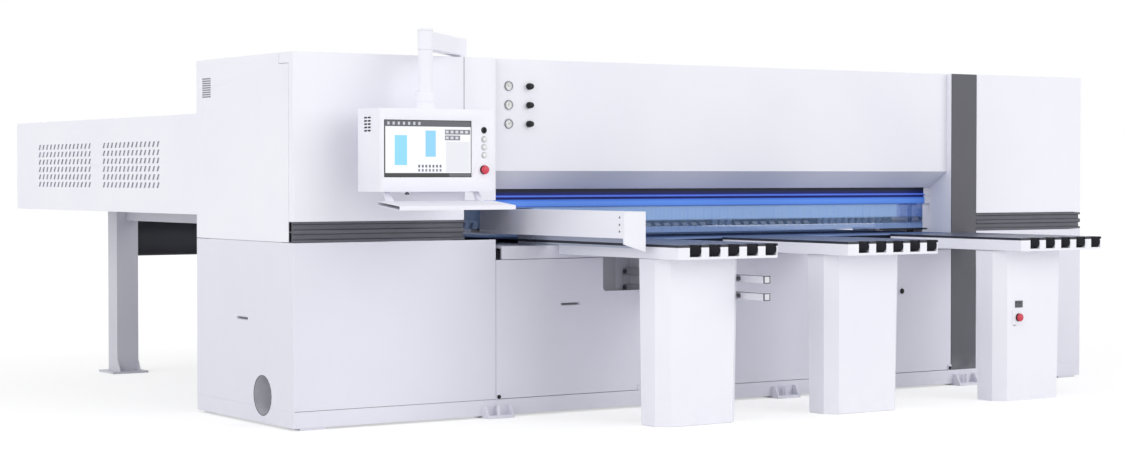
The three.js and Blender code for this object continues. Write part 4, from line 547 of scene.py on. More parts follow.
filter_fleece = moulded("filter_fleece", (206, 207, 216), (192, 193, 203), roughness=0.8,
                        grain=60.0, relief=0.4)
for side, cut_x, filter_x in COVER_SIDES:
    fitted(carved(f"rear_cover_{side}", f"rear_cover_shell_{side}", leaning_slots(cut_x)),
           "machine", white_coat, 1.0, [f"rear_cover_{side}"])
    filters = boxes_mesh([(*filter_x, y0 - FILTER_LAP, y1 + FILTER_LAP, SLOT_LOW - FILTER_LAP,
                           SLOT_HIGH + FILTER_LAP) for y0, y1 in SLOT_BLOCKS])
    new_piece(f"slot_filters_{side}", filters, "machine", filter_fleece)


# Grip rails and pressure beam
# Anodised aluminium grip rails along both cabinets, and the coated clamping beam behind the
# curtain. Its front foot is a rubber comb with pale pads, notched so that it passes the grippers.
RAIL_ROUND, BEAM_ROUND = 0.8, 1.2
# First and last x of the comb's two blocks
COMB_RUNS = [(1690.0, 3086.0), (3248.0, 3923.0)]
COMB_LOW, COMB_HIGH = 1012.0, 1048.0
COMB_DEPTH = (514.0, 524.5)
PAD_LOW, PAD_HIGH = COMB_LOW + 3, 1032.0
PAD_DEPTH = (512.0, 515.0)
PAD_PITCH, PAD_LENGTH, PAD_LEAN = 68.0, 38.0, 12.0
PAD_FIRST, PAD_LAST = 24.0, 50.0


def metal(name, colour, streak, roughness=0.34, along=(1.0, 60.0, 60.0)):
    """Metal with streaks: noise stretched along one axis shifts colour and roughness."""
    material, place = start_finish(name)
    stretched = place.node("ShaderNodeMapping", {}, {"Vector": place, "Scale": along})
    grain = noise(stretched, scale=9.0, detail=4.0)
    cloud = noise(place, scale=3.0, detail=3.0)
    return end_finish(material, place, {
        "Base Color": drift(grain, colour, streak),
        "Roughness": roughness + (grain - 0.5) * 0.16 + cloud.spread(0.4, 0.8) * 0.08,
        "Normal": skin(grain, 0.05, 0.0003), "Metallic": 1.0})


rail_metal = metal("grey_anodised_profile", (98, 98, 105), (88, 88, 95), roughness=0.46)
# The beam's pale blue-white coat is painted light: the blue light through the curtain strips on a beam that
# lies in shade.
beam_coat_painted_light = coated("blue_grey_coat_painted_light", (196, 220, 255), (184, 210, 250), roughness=0.5, dust=0.0)
dress(["left_rail", "right_rail"], rail_metal, RAIL_ROUND)
dress(["pressure_beam"], beam_coat_painted_light, BEAM_ROUND)
comb_rubber = moulded("comb_rubber", (20, 34, 84), (28, 44, 98), roughness=0.6, grain=90.0,
                      relief=0.2, gleam=0.2)
comb = boxes_mesh([(x0, x1, *COMB_DEPTH, COMB_LOW, COMB_HIGH) for x0, x1 in COMB_RUNS])
new_piece("beam_comb", comb, "pressure_beam", comb_rubber, bevel=1.0)
pads = [swept_mesh("y", [(x, PAD_LOW), (x + PAD_LENGTH, PAD_LOW),
                         (x + PAD_LENGTH - PAD_LEAN, PAD_HIGH), (x - PAD_LEAN, PAD_HIGH)], PAD_DEPTH)
        for x0, x1 in COMB_RUNS for x in np.arange(x0 + PAD_FIRST, x1 - PAD_LAST, PAD_PITCH)]
new_piece("beam_pads", merged(pads), "pressure_beam", white_coat)


# Track, saw unit and jaws
# Drawn steel track bars behind the saw, and the milled plates, shafts and ground blades of the
# saw unit, which rides the main beam's ways on its carriage.
PLATE_ROUND = 0.8
TRACK_ROUND = 1.0
SAW_Y = 630.12
BLADE_HALF = 1.6
# Name, tip radius, teeth, flange radius, shaft radius
BLADES = [("main_blade", 200.0, 48, 60.0, 40.0), ("scoring_blade", 80.0, 24, 30.0, 20.0)]
# Share of the pitch, and height, of each point of a tooth
TOOTH = [(0.0, 1.0), (0.06, 1.0), (0.22, 0.62), (0.45, 0.1), (0.62, 0.0), (0.8, 0.05), (0.93, 0.35)]
TOOTH_SHARE = 0.08


def blade_mesh(x, z, radius, teeth, flange, shaft):
    """Toothed disc, flange and shaft: tooth row (a, h) lies at the angle 2 pi (i + a) / teeth and
    at the radius less 8 hundredths of it times 1 - h."""
    along = (np.arange(teeth)[:, None] + np.array(TOOTH)[None, :, 0]).ravel()
    high = np.tile(np.array(TOOTH)[:, 1], teeth)
    turn = 2 * np.pi * along / teeth
    reach = radius * (1 - TOOTH_SHARE * (1 - high))
    rim = np.stack([x + reach * np.cos(turn), z + reach * np.sin(turn)], axis=1)
    disc = swept_mesh("y", rim, (SAW_Y - BLADE_HALF, SAW_Y + BLADE_HALF))
    hub = turned_mesh("y", (x, SAW_Y, z), [(-12, 0.5), (-12, shaft * 0.55), (-9, shaft * 0.6),
                      (-9, flange * 0.9), (-7.5, flange), (7, flange), (7, shaft), (24.6, shaft),
                      (24.6, 0.5)])
    return merged([disc, hub])


track_metal = metal("drawn_steel", (140, 150, 172), (122, 133, 156), roughness=0.45,
                    along=(60.0, 1.0, 60.0))
plate_metal = metal("milled_steel", (158, 160, 165), (138, 140, 146), roughness=0.33)
blade_metal = metal("ground_blade_steel", (182, 184, 189), (165, 167, 173), roughness=0.24)
motor_coat = coated("motor_grey", (96, 100, 108), (88, 92, 100), dust=0.0)
dress(["rear_track"], track_metal, TRACK_ROUND)
dress(["saw_carriage", "gripper_jaws"], plate_metal, PLATE_ROUND)
dress(["saw_arm"], motor_coat, PLATE_ROUND)
for name, radius, teeth, flange, shaft in BLADES:
    x, _, z = middle(name)
    new_piece(name + "_ground", blade_mesh(x, z, radius, teeth, flange, shaft), name,
              blade_metal, replaces=[name])


# Pushers
# Welded tube bridges in anthracite paint on ball trucks, with a pneumatic cylinder over each
# gripper. The cylinders are clear-anodised tubes between black end caps.
GRIPPER_FIRST, GRIPPER_SPAN, GRIPPER_PLACES = 1500.0, 2920.0, 7
GRIPPER_MIDDLES = GRIPPER_FIRST + GRIPPER_SPAN * (np.arange(2, 7) + 0.5) / GRIPPER_PLACES
CYLINDER_Y = 2294.0
TUBE_LOW, TUBE_HIGH, TUBE_RADIUS = 1200.0, 1320.0, 21.0
CAP_MIDDLES = (1206.0, 1315.0)
CAP_HALF, CAP_RADIUS, CAP_SIDES = 13.0, 25.0, 8
STREAKS_UP = (60.0, 60.0, 1.0)
dress(["pusher_beam", "second_pusher"], frame_coat, SHEET_ROUND)
black_plastic = moulded("black_moulding", (20, 20, 24), (28, 28, 32), roughness=0.5, gleam=0.3)
tube_metal = metal("clear_anodised_tube", (176, 178, 184), (160, 163, 170), roughness=0.3,
                   along=STREAKS_UP)
tube_profile = [(TUBE_LOW, 2), (TUBE_LOW, TUBE_RADIUS - 1), (TUBE_LOW + 2, TUBE_RADIUS),
                (TUBE_HIGH - 2, TUBE_RADIUS), (TUBE_HIGH, TUBE_RADIUS - 1), (TUBE_HIGH, 2)]
tubes = merged([turned_mesh("z", (x, CYLINDER_Y, 0), tube_profile, steps=32) for x in GRIPPER_MIDDLES])
new_piece("gripper_tubes", tubes, "pusher", tube_metal)
cap_profile = [(-CAP_HALF, 2), (-CAP_HALF, CAP_RADIUS - 2), (2 - CAP_HALF, CAP_RADIUS),
               (CAP_HALF - 2, CAP_RADIUS), (CAP_HALF, CAP_RADIUS - 2), (CAP_HALF, 2)]
caps = merged([turned_mesh("z", (x, CYLINDER_Y, z), cap_profile, CAP_SIDES) for x in GRIPPER_MIDDLES
               for z in CAP_MIDDLES])
new_piece("gripper_caps", caps, "pusher", black_plastic, bevel=1.0)


# Front tables
# A dark phenolic sheet on a white sheet-steel plenum, with brass-seated ball valves that let
# the air out under the boards. Black edge rollers turn in pockets in the front.
TABLE_CENTRES = (1958.0, 3100.3, 4396.0)
TABLE_TOP, TABLE_ROUND = 957.0, 1.0
# Heights above which a table shows its sheet's face, and under that the sheet's dark edge
TABLE_BANDS, BED_BANDS = (956.2, 943.0), (951.0, 929.0)
SHEET_EDGE = paint(32, 35, 47)
NOZZLE_ACROSS = (-240.0, -80.0, 80.0, 240.0)
NOZZLE_ALONG = np.linspace(-930, -110, 7)
NOZZLE = [(-0.6, 0.3), (-0.6, 9), (0.35, 8.6), (0.35, 6), (-0.3, 5.4), (0.6, 2.6), (0.9, 0.3)]
ROLLER_SHIFT, ROLLER_PITCH = 34.0, 124.0
_, ROLLER_Y, ROLLER_Z = middle("table_rollers_1")
ROLLER = [(-34, 8), (-33.4, 13), (-32, 14), (-32, 24), (-34, 25.5), (-33, 28.6), (-30, 30), (30, 30),
          (33, 28.6), (34, 25.5), (32, 24), (32, 14), (33.4, 13), (34, 8)]
AXLE_LEFT, AXLE_RIGHT, AXLE_RADIUS = -255.0, 323.0, 6.8


def table_material(name, bands, sheet_colour, sheet_shade, gleam=0.5):
    """Phenolic sheet over white steel: the height gives the sheet's face above the first band,
    its dark edge down to the second, and powder coat under that."""
    material, place = start_finish(name)
    height, = axes(place, "Z")
    cloud = noise(place, scale=2.2, detail=4.0)
    scuff = noise(place, scale=38.0, detail=5.0)
    sheet, edge = (height > band / 1000.0 for band in bands)
    below = edge.mix(drift(cloud, WHITE_COAT, WHITE_SHADE), SHEET_EDGE)
    return end_finish(material, place, {
        "Base Color": sheet.mix(below, drift(cloud, sheet_colour, sheet_shade)),
        "Roughness": 0.42 - sheet * (0.14 - scuff.spread(0.45, 0.8) * 0.14),
        "Normal": skin(scuff, 0.04, 0.0003), "Specular IOR Level": gleam})


table_finish = table_material("phenolic_on_plenum", TABLE_BANDS, (76, 86, 112), (68, 78, 104))
# The bed's pale blue sheet is painted light: the blue light that comes through the curtain strips onto the
# bed.
bed_finish_with_painted_light = table_material("phenolic_bed_with_painted_light", BED_BANDS, (126, 148, 192), (110, 130, 172), gleam=0.0)
dress([f"air_table_{i}" for i in (1, 2, 3)], table_finish, TABLE_ROUND)
dress(["machine_table"], bed_finish_with_painted_light, TABLE_ROUND)
brass = metal("nozzle_brass", (196, 182, 140), (180, 166, 124), roughness=0.3)
for i, centre in enumerate(TABLE_CENTRES, 1):
    nozzles = merged([turned_mesh("z", (centre + x, y, TABLE_TOP), NOZZLE, steps=12)
                      for x in NOZZLE_ACROSS for y in NOZZLE_ALONG])
    new_piece(f"air_nozzles_{i}", nozzles, "machine", brass)
roller_rubber = moulded("roller_rubber", (26, 26, 32), (34, 34, 40), roughness=0.7, grain=90.0,
                        relief=0.2, gleam=0.12)
axle_profile = [(AXLE_LEFT, 0.5), (AXLE_LEFT, AXLE_RADIUS), (AXLE_RIGHT, AXLE_RADIUS), (AXLE_RIGHT, 0.5)]
for i, centre in enumerate(TABLE_CENTRES, 1):
    places = centre + ROLLER_SHIFT + ROLLER_PITCH * np.arange(-2, 3)
    rollers = [turned_mesh("x", (x, ROLLER_Y, ROLLER_Z), ROLLER, steps=40) for x in places]
    axle = turned_mesh("x", (centre, ROLLER_Y, ROLLER_Z), axle_profile, steps=20)
    new_piece(f"edge_rollers_{i}", merged(rollers + [axle]), f"rollers_{i}",
              roller_rubber, replaces=[f"table_rollers_{i}"])


# Pedestals
# Folded eight-sided sheet pillars that carry the front tables and lead the air up to them. A grey strip
# round each top is painted shadow under the table. The right one has a stop button, a rocker switch and a
# bare plug on its face.
PEDESTAL_ROUND = 3.0
STOP_FACE = -925.0
STOP_PROFILE = [(-24, 0.4), (-23.7, 9), (-22, 16), (-18.5, 21), (-14, 23), (-10.5, 22), (-8, 17.5),
                (-8, 9), (10, 9), (10, 0.4)]
STOP_COLLAR = [(-1.8, 15), (-1.8, 21), (0.1, 24), (0.1, 9.8), (-1.0, 9.8), (-1.8, 12)]
ROCKER = [(-917.5, 550), (-924, 550), (-924, 556), (-921.5, 565), (-927, 575), (-924, 580),
          (-917.5, 580)]
ROCKER_RUNS = [(4218.0, 4240.0), (4244.0, 4266.0)]
SWITCH_PLATE = (4212.0, 4272.0, -921.0, -916.8, 545.0, 585.0)
PLUG_PLACE = (4208.0, -917.0, 449.0)
PLUG = [(-6, 0.5), (-6, 8), (-4, 9), (1, 9), (1, 0.5)]
PILLAR_MIDDLES = (1932.0, 3079.8, 4358.0)
PILLAR_Y = -792.0
PILLAR_HALF, PILLAR_DEEP, PILLAR_CORNER = 271.8, 129.3, 60.0
SHADOW_STRIP_HEIGHTS = (877.5, 880.9)


def pillar_outline(centre):
    """Rectangle about a pillar's middle with its four corners cut off, the same way in X and Y."""
    wide, deep = PILLAR_HALF - PILLAR_CORNER, PILLAR_DEEP - PILLAR_CORNER
    return [(centre + x, PILLAR_Y + y) for x, y in [
        (-wide, -PILLAR_DEEP), (wide, -PILLAR_DEEP), (PILLAR_HALF, -deep), (PILLAR_HALF, deep),
        (wide, PILLAR_DEEP), (-wide, PILLAR_DEEP), (-PILLAR_HALF, deep), (-PILLAR_HALF, -deep)]]


dress([f"pedestal_{i}" for i in (1, 2, 3)], white_coat, PEDESTAL_ROUND)
red_plastic = moulded("red_moulding", (214, 62, 84), (200, 50, 72), roughness=0.28, relief=0.03)
stop_x, _, stop_z = middle("pedestal_stop_button")
stop_place = (stop_x, STOP_FACE, stop_z)
new_piece("pedestal_stop_mushroom", turned_mesh("y", stop_place, STOP_PROFILE), "pedestal_stop",
          red_plastic, replaces=["pedestal_stop_button"])
new_piece("pedestal_stop_collar", turned_mesh("y", stop_place, STOP_COLLAR, loop=True), "machine",
          black_plastic)
rockers = [swept_mesh("x", ROCKER, run) for run in ROCKER_RUNS]
switch = merged(rockers + [boxes_mesh([SWITCH_PLATE]), turned_mesh("y", PLUG_PLACE, PLUG, steps=24)])
new_piece("pedestal_switch", switch, "machine", dark_coat, bevel=0.6)
# Grey strips round the pillars' tops: painted shadow where the tables sit on them.
shadow_strips = merged([swept_mesh("z", pillar_outline(centre), SHADOW_STRIP_HEIGHTS) for centre in PILLAR_MIDDLES])
new_piece("pillar_painted_shadow", shadow_strips, "machine", cup_grey)


# Tie arms
# Two rectangular tubes that run from an anchor plate in the body, out of a pocket in the panel and past the
# first pedestal, with black rims on their front ends and a bolt through each. Black strips along their top
# edges in front are painted shade lines, and behind the pedestal their coat is grey as painted shade.
ARMS_ROUND = 2.0
TIE_LOW = (654.0, 746.0)
TIE_TALL = 38.0
TIE_FRONT = -1085.0
TIE_WHITE_UP_TO = -2.155
RIM_PLACES = (2209.5, 2246.8)
RIM_WIDE, RIM_TALL, RIM_LONG, RIM_PROUD = 4.0, 3.0, 5.0, 0.8
# Where the painted shade lines on the arms' top edges end, their width, and their heights about the top
SHADE_LINE_END, SHADE_LINE_WIDE, SHADE_LINE_HEIGHTS = -800.0, 4.5, (-1.0, 1.2)
BOLT = [(-10, 0.5), (-10, 11), (-8.5, 13), (0.5, 13), (0.5, 0.5)]
BOLT_X, BOLT_PLACES = 2212.0, (-872.0, 182.0)
POCKET_X, POCKET_Y, POCKET_Z = (1908.0, 2254.5), (34.0, 200.0), (640.0, 871.0)
POCKET_WALL = 3.0
ANCHOR_PLATES = [(1960, 2150, 194, 199, 641, 870), (2150, 2203, 194, 199, 641, 662)]


def tie_coat_and_painted_shade():
    """White powder coat up to the pedestal and behind it grey, painted shade where the arms run into the
    pocket, by the place in Y in metres.
    """
    material, place = start_finish("tie_arm_coat_and_painted_shade")
    depth, = axes(place, "Y")
    cloud = noise(place, scale=9.0, detail=4.0)
    grey = drift(cloud, (188, 188, 195), (176, 176, 184))
    white = drift(cloud, (226, 226, 234), (214, 214, 223))
    return end_finish(material, place, {
        # Grey behind the pedestal is painted shade; white in front is the coat.
        "Base Color": (depth < TIE_WHITE_UP_TO).mix(grey, white), "Roughness": 0.4 + cloud * 0.1})


dress(["tie_arms"], tie_coat_and_painted_shade(), ARMS_ROUND)
rim_y = (TIE_FRONT - RIM_PROUD, TIE_FRONT + RIM_LONG)
rims = [(RIM_PLACES[0], RIM_PLACES[1] + RIM_WIDE, *rim_y, z + low, z + high) for z in TIE_LOW
        for low, high in ((-RIM_PROUD, RIM_TALL), (TIE_TALL - RIM_TALL, TIE_TALL + RIM_PROUD))]
rims += [(x, x + RIM_WIDE, *rim_y, z, z + TIE_TALL) for z in TIE_LOW for x in RIM_PLACES]
# Black strips along each arm's top edge in front: painted shade lines.
rims += [(RIM_PLACES[0], RIM_PLACES[0] + SHADE_LINE_WIDE, rim_y[1], SHADE_LINE_END,
          *(z + TIE_TALL + edge for edge in SHADE_LINE_HEIGHTS)) for z in TIE_LOW]
new_piece("tie_arm_rims", boxes_mesh(rims), "machine", black_plastic, bevel=0.3)
bolts = merged([turned_mesh("x", (BOLT_X, y, z + TIE_TALL / 2), BOLT, steps=6) for z in TIE_LOW
                for y in BOLT_PLACES])
new_piece("tie_arm_bolts", bolts, "machine", dark_coat, bevel=0.6)
outer_x = (POCKET_X[0] - POCKET_WALL, POCKET_X[1] + POCKET_WALL)
outer_z = (POCKET_Z[0] - POCKET_WALL, POCKET_Z[1] + POCKET_WALL)
pocket = boxes_mesh([
    (outer_x[0], POCKET_X[0], *POCKET_Y, *POCKET_Z), (POCKET_X[1], outer_x[1], *POCKET_Y, *POCKET_Z),
    (*outer_x, *POCKET_Y, outer_z[0], POCKET_Z[0]), (*outer_x, *POCKET_Y, POCKET_Z[1], outer_z[1]),
    (*outer_x, POCKET_Y[1], POCKET_Y[1] + POCKET_WALL, *outer_z)])
new_piece("arm_pocket", pocket, "machine", white_coat)
anchor_coat = coated("anchor_grey", (222, 222, 228), (214, 214, 221), roughness=0.5, dust=0.0)
new_piece("arm_anchor_plate", boxes_mesh(ANCHOR_PLATES), "machine", anchor_coat)


# Side fence
# Folded sheet channel that squares the boards, screwed to its slanted end plate. A black lip on its right
# wall closes the gap to the table, and its rear end runs on into the cutting line. Over the lip a blue-grey
# band is painted reflection of the table top.
# In metres, as the shader reads them: the lip's heights, the top of the painted reflection band over it, and
# where both begin
FENCE_LIP, FENCE_REFLECTION_TOP, FENCE_BEHIND = (0.946, 0.960), 0.988, -2.356
FOOT_CUT = (1424, 1548, 100, 312, 920, 989.5)
FENCE_TAIL = [(1430, 1434, 309, 506, 988, 1128), (1430, 1560, 309, 506, 1124, 1128)]
FENCE_SCREW_X, FENCE_SCREW_Y, FENCE_SCREWS = 1430.0, -872.0, (1098.0, 1060.0, 1025.0)
SCREW = [(-2.4, 0.4), (-1.2, 2.0), (-2.4, 3.2), (-2.2, 4.6), (-1.0, 5.6), (0.3, 5.6), (0.3, 0.4)]


def fence_coat_and_painted_reflection():
    """White powder coat; behind the end plate the heights, in metres, give the black lip and over it a
    blue-grey band on the wall that faces the table, painted reflection of the table top."""
    material, place = start_finish("fence_coats_and_painted_reflection")
    depth, height = axes(place, "YZ")
    cloud = noise(place, scale=1.3, detail=4.0)
    behind = depth > FENCE_BEHIND
    wall = behind * (height < FENCE_REFLECTION_TOP)
    lip = behind * height.between(*FENCE_LIP)
    # Blue-grey band over the lip: painted reflection of the table top.
    coat_and_painted_reflection = wall.mix(drift(cloud, WHITE_COAT, WHITE_SHADE), paint(176, 184, 204))
    return end_finish(material, place, {
        "Base Color": lip.mix(coat_and_painted_reflection, paint(24, 28, 44)), "Roughness": 0.42 + cloud * 0.06})


fitted(carved("side_fence", "fence_shell", boxes_mesh([FOOT_CUT])), "machine",
       fence_coat_and_painted_reflection(), SHEET_ROUND, ["side_fence"])
new_piece("fence_tail", boxes_mesh(FENCE_TAIL), "machine", white_coat)
steel_screw = metal("zinc_plated_screw", (120, 122, 128), (104, 106, 112), roughness=0.38)
screws = merged([turned_mesh("x", (FENCE_SCREW_X, FENCE_SCREW_Y, z), SCREW, steps=20) for z in FENCE_SCREWS])
new_piece("fence_screws", screws, "machine", steel_screw)


# Curtain header and strips
# A blue-anodised profile under the hood with two ribs, which holds overlapping strips of soft blue vinyl
# that hang down over the cutting line and part around the fence. The ribs' brightness is painted highlight,
# and its grooves and top carry painted shade.
HEADER_ROUND = 0.8
# In metres: the heights of the toned band, and where its white right end begins
HEADER_BAND, HEADER_WHITE_FROM = (1.138, 1.24), 1.672
# Share of the header's band, and its tone there: its own blue with painted highlights on the ribs and
# painted shade in the grooves and along the top
HEADER_TONES_AND_PAINTED_LIGHT = [
    (0.0, paint(52, 92, 200)), (0.06, paint(96, 150, 244)), (0.26, paint(104, 158, 250)),
    (0.4, paint(66, 120, 236)), (0.43, paint(8, 26, 118)), (0.53, paint(10, 30, 126)),
    (0.56, paint(94, 132, 246)), (0.63, paint(94, 132, 246)), (0.66, paint(12, 30, 112)),
    (0.82, paint(14, 26, 80)), (0.86, paint(16, 26, 44)), (1.0, paint(24, 32, 42))]
STRIP_X = (1261.0, 4524.0)
STRIP_COUNT = 111
STRIP_TOP, STRIP_BOTTOM = 1167.0, 985.0
PASSAGE_X, PASSAGE_BOTTOM = (1200.0, 1572.0), 1133.0
STRIP_FRONT, STRIP_BOW = 206.4, 0.8
STRIP_THICK, STRIP_GAP, STRIP_LAP = 0.9, 0.25, 0.5
STRIP_STEPS = 6
# In metres: where the strips start to hang single, their dark hem's top, and the comb's top
SINGLE_FROM, HEM_TOP, COMB_TOP = (1.436, 1.476), (1.015, 1.021), (1.052, 1.062)
END_PLATE = (4526, 4577, 209, 212, 958, 1238)


def banded_material():
    """Blue profile whose ribs and grooves take tones by height: its own blue, with painted highlights on the
    ribs and painted shade in the grooves and along the top. Its right end is white."""
    material, place = start_finish("header_blue")
    across, height = axes(place, "XZ")
    tone = place.node("ShaderNodeValToRGB", {"stops": HEADER_TONES_AND_PAINTED_LIGHT},
                      {"Fac": height.spread(*HEADER_BAND)}, output="Color")
    return end_finish(material, place, {
        "Base Color": (across > HEADER_WHITE_FROM).mix(tone, paint(*WHITE_SHADE)),
        "Roughness": 0.34 + noise(place, scale=2.0, detail=2.0) * 0.1, "Specular IOR Level": 0.2})


def vinyl():
    """Clear blue vinyl with fine vertical streaks from the rolls: milky where the strips overlap,
    clearer over the comb's height and at the right end, where they hang single."""
    material, place = start_finish("strip_vinyl")
    stretched = place.node("ShaderNodeMapping", {}, {"Vector": place, "Scale": STREAKS_UP})
    streak = noise(stretched, scale=4.0, detail=3.0)
    across, height = axes(place, "XZ")
    single = across.spread(*SINGLE_FROM)
    hem = 1 - height.spread(*HEM_TOP)
    body = 0.07 + hem * 0.59 + height.spread(*COMB_TOP) * (0.54 - single * 0.28)
    clear = single.mix(drift(streak, (176, 212, 255), (162, 202, 255)), paint(126, 168, 250))
    return end_finish(material, place, {
        "Base Color": hem.mix(clear, paint(132, 164, 216)), "Roughness": 0.16 + streak * 0.1,
        "Alpha": body + streak.spread(0.3, 0.7) * 0.06})


def strips_mesh():
    """Hanging strips: strip i spans its share of the width, its section bows forward by
    1 - s^2 over s from -1 to 1, and every other strip hangs behind its neighbours."""
    pitch = (STRIP_X[1] - STRIP_X[0]) / STRIP_COUNT
    share = np.linspace(-1, 1, STRIP_STEPS)
    parts = []
    for i in range(STRIP_COUNT):
        centre = STRIP_X[0] + (i + 0.5) * pitch
        inside = PASSAGE_X[0] - pitch / 2 < centre < PASSAGE_X[1] + pitch / 2
        bottom = PASSAGE_BOTTOM if inside else STRIP_BOTTOM
        x = centre + share * (pitch / 2 - STRIP_GAP)
        front = STRIP_FRONT - STRIP_BOW * (1 - share ** 2) + (STRIP_LAP if i % 2 else 0.0)
        outline = np.concatenate([np.stack([x, front], 1), np.stack([x, front + STRIP_THICK], 1)[::-1]])
        parts.append(swept_mesh("z", outline, (bottom, STRIP_TOP)))
    return merged(parts)


dress(["curtain_header"], banded_material(), HEADER_ROUND)
new_piece("hanging_strips", strips_mesh(), "machine", vinyl(),
          replaces=["strip_curtain"])
new_piece("curtain_end_plate", boxes_mesh([END_PLATE]), "machine", white_coat, bevel=0.5)


# Side aligner
# Truck on the header's rear guide, with a bracket over the fence and a rod that presses boards
# sideways. It parks behind a flat black guard bar at the opening's right end.
ALIGNER_ROUND = 0.8
ALIGNER_X, ALIGNER_Y = 4424.0, 222.0
BRACKET = (ALIGNER_X - 92, ALIGNER_X + 60, 216, 222, 1130, 1142)
ROD = [(962, 0.5), (962, 8), (1142, 8), (1142, 0.5)]
GUARD_BAR = (4170, 4566, 209, 213, 974, 985)
dress(["side_aligner"], black_plastic, ALIGNER_ROUND)
aligner = merged([boxes_mesh([BRACKET]), turned_mesh("z", (ALIGNER_X, ALIGNER_Y, 0), ROD, steps=24)])
new_piece("aligner_rod", aligner, "side_aligner", black_plastic, bevel=0.5)
new_piece("guard_bar", boxes_mesh([GUARD_BAR]), "machine", black_plastic, bevel=0.3)


# Gauges and regulators
# Three dial gauges in grey bezels on the fascia, each with a pale dial, moulded ticks and a
# needle, and a ribbed black regulator knob beside each.
CASE_ROUND = 0.5
GAUGE_X = 1333.0
KNOB_X = middle("regulator_knob_1")[0]
GAUGE_HEIGHTS = [middle(f"regulator_knob_{i}")[2] for i in (1, 2, 3)]
NEEDLE_TURN = (-40.0, 10.0, 55.0)
BEZEL = [(37.4, 25.0), (36.9, 24.2), (37.4, 22.9), (41.6, 22.6), (44.9, 22.9), (44.9, 26.2),
         (41.0, 25.8)]
DIAL = [(42.2, 0.4), (42.2, 22.2), (44.0, 22.2), (44.0, 0.4)]
DIAL_TICKS, DIAL_TURN = 11, 135.0
# Half width, inner and outer radius, and front face of a tick and of the needle
TICK, NEEDLE = (1.0, 15.0, 20.5, 41.9), (0.9, -5.0, 16.0, 41.3)
DIAL_FACE, MARK_TAPER = 42.4, 0.6
NEEDLE_CAP = [(40.8, 0.3), (40.8, 2.6), (DIAL_FACE, 2.6), (DIAL_FACE, 0.3)]
KNOB = np.array([(10.0, 0.4), (10.0, 12.6), (11.0, 14.4), (12.6, 15.0), (26.6, 15.2), (27.4, 17.2),
                 (29.0, 18.0), (42.0, 18.0), (43.6, 17.0), (44.0, 8.2), (61.0, 8.0), (61.0, 0.4)])
KNOB_STEPS, KNOB_RIBS, KNOB_RELIEF = 108, 18, 0.035
KNOB_GRIP = (11.0, 27.0)


def dial_marks(z, needle):
    """Ticks from -135 to 135 degrees round the dial, then the needle and its cap: a mark of half
    width w from radius a to b is turned by its angle about the dial's middle."""
    turns = np.linspace(-DIAL_TURN, DIAL_TURN, DIAL_TICKS)
    parts = []
    for angle, (half, inner, outer, face) in [*((turn, TICK) for turn in turns), (needle, NEEDLE)]:
        turn = math.radians(angle)
        tip = half * MARK_TAPER
        flat = np.array([(-half, inner), (half, inner), (tip, outer), (-tip, outer)])
        rows = np.stack([flat[:, 0] * math.cos(turn) + flat[:, 1] * math.sin(turn) + GAUGE_X,
                         -flat[:, 0] * math.sin(turn) + flat[:, 1] * math.cos(turn) + z], axis=1)
        parts.append(swept_mesh("y", rows, (face, DIAL_FACE)))
    parts.append(turned_mesh("y", (GAUGE_X, 0, z), NEEDLE_CAP, steps=16))
    return merged(parts)


def knob_rings(z):
    """Ribbed knob: the radius of a row on the grip is waved by cos(18 t) around the axis."""
    turn = np.linspace(0, 2 * np.pi, KNOB_STEPS, endpoint=False)
    grip = ((KNOB[:, 0] > KNOB_GRIP[0]) & (KNOB[:, 0] < KNOB_GRIP[1])).astype(float)
    radius = KNOB[:, 1, None] * (1 + KNOB_RELIEF * grip[:, None] * np.cos(KNOB_RIBS * turn))
    return np.stack([KNOB_X + radius * np.cos(turn), np.repeat(KNOB[:, :1], len(turn), 1),
                     z + radius * np.sin(turn)], axis=-1)


pale_plastic = moulded("pale_moulding", (236, 237, 234), (228, 229, 227), roughness=0.3)
gauge_case = moulded("gauge_case", (186, 187, 193), (172, 173, 180), roughness=0.3)
dress(["gauge_set"], gauge_case, CASE_ROUND)
bezel_grey = moulded("grey_bezel", (158, 159, 166), (146, 147, 154), 0.35)
for i, (z, needle) in enumerate(zip(GAUGE_HEIGHTS, NEEDLE_TURN), 1):
    new_piece(f"gauge_bezel_{i}", turned_mesh("y", (GAUGE_X, 0, z), BEZEL, loop=True), "machine",
              bezel_grey)
    new_piece(f"gauge_dial_{i}", turned_mesh("y", (GAUGE_X, 0, z), DIAL), "machine",
              pale_plastic)
    new_piece(f"gauge_marks_{i}", dial_marks(z, needle), "machine", cup_grey)
for i, z in enumerate(GAUGE_HEIGHTS, 1):
    new_piece(f"regulator_grip_{i}", rings_mesh(knob_rings(z)), f"regulator_{i}",
              black_plastic, replaces=[f"regulator_knob_{i}"])


# Lock and panel furniture
# Black quarter-turn lock of the right lower panel, and a round rubber stop at the outer bottom
# corner of each lower panel that tilts.
LOCK_X, LOCK_Z = 4158.0, 604.0
LOCK = [(-14, 0.4), (-14, 6), (-12.5, 7), (-12.5, 14), (-11, 16.5), (-9.9, 17.2), (-9.9, 0.4)]
PANEL_STOPS = [("panel_left", 1237.0), ("panel_right", 4561.0)]
PANEL_STOP_Z = 112.0
PANEL_STOP = [(-13, 0.4), (-13, 9), (-11.5, 11), (-8.0, 11.5), (-8.0, 0.4)]
new_piece("panel_lock", turned_mesh("y", (LOCK_X, 0, LOCK_Z), LOCK, steps=32), "panel_right",
          black_plastic)
for body, x in PANEL_STOPS:
    new_piece(f"{body}_stop", turned_mesh("y", (x, 0, PANEL_STOP_Z), PANEL_STOP, steps=24), body,
              black_plastic)


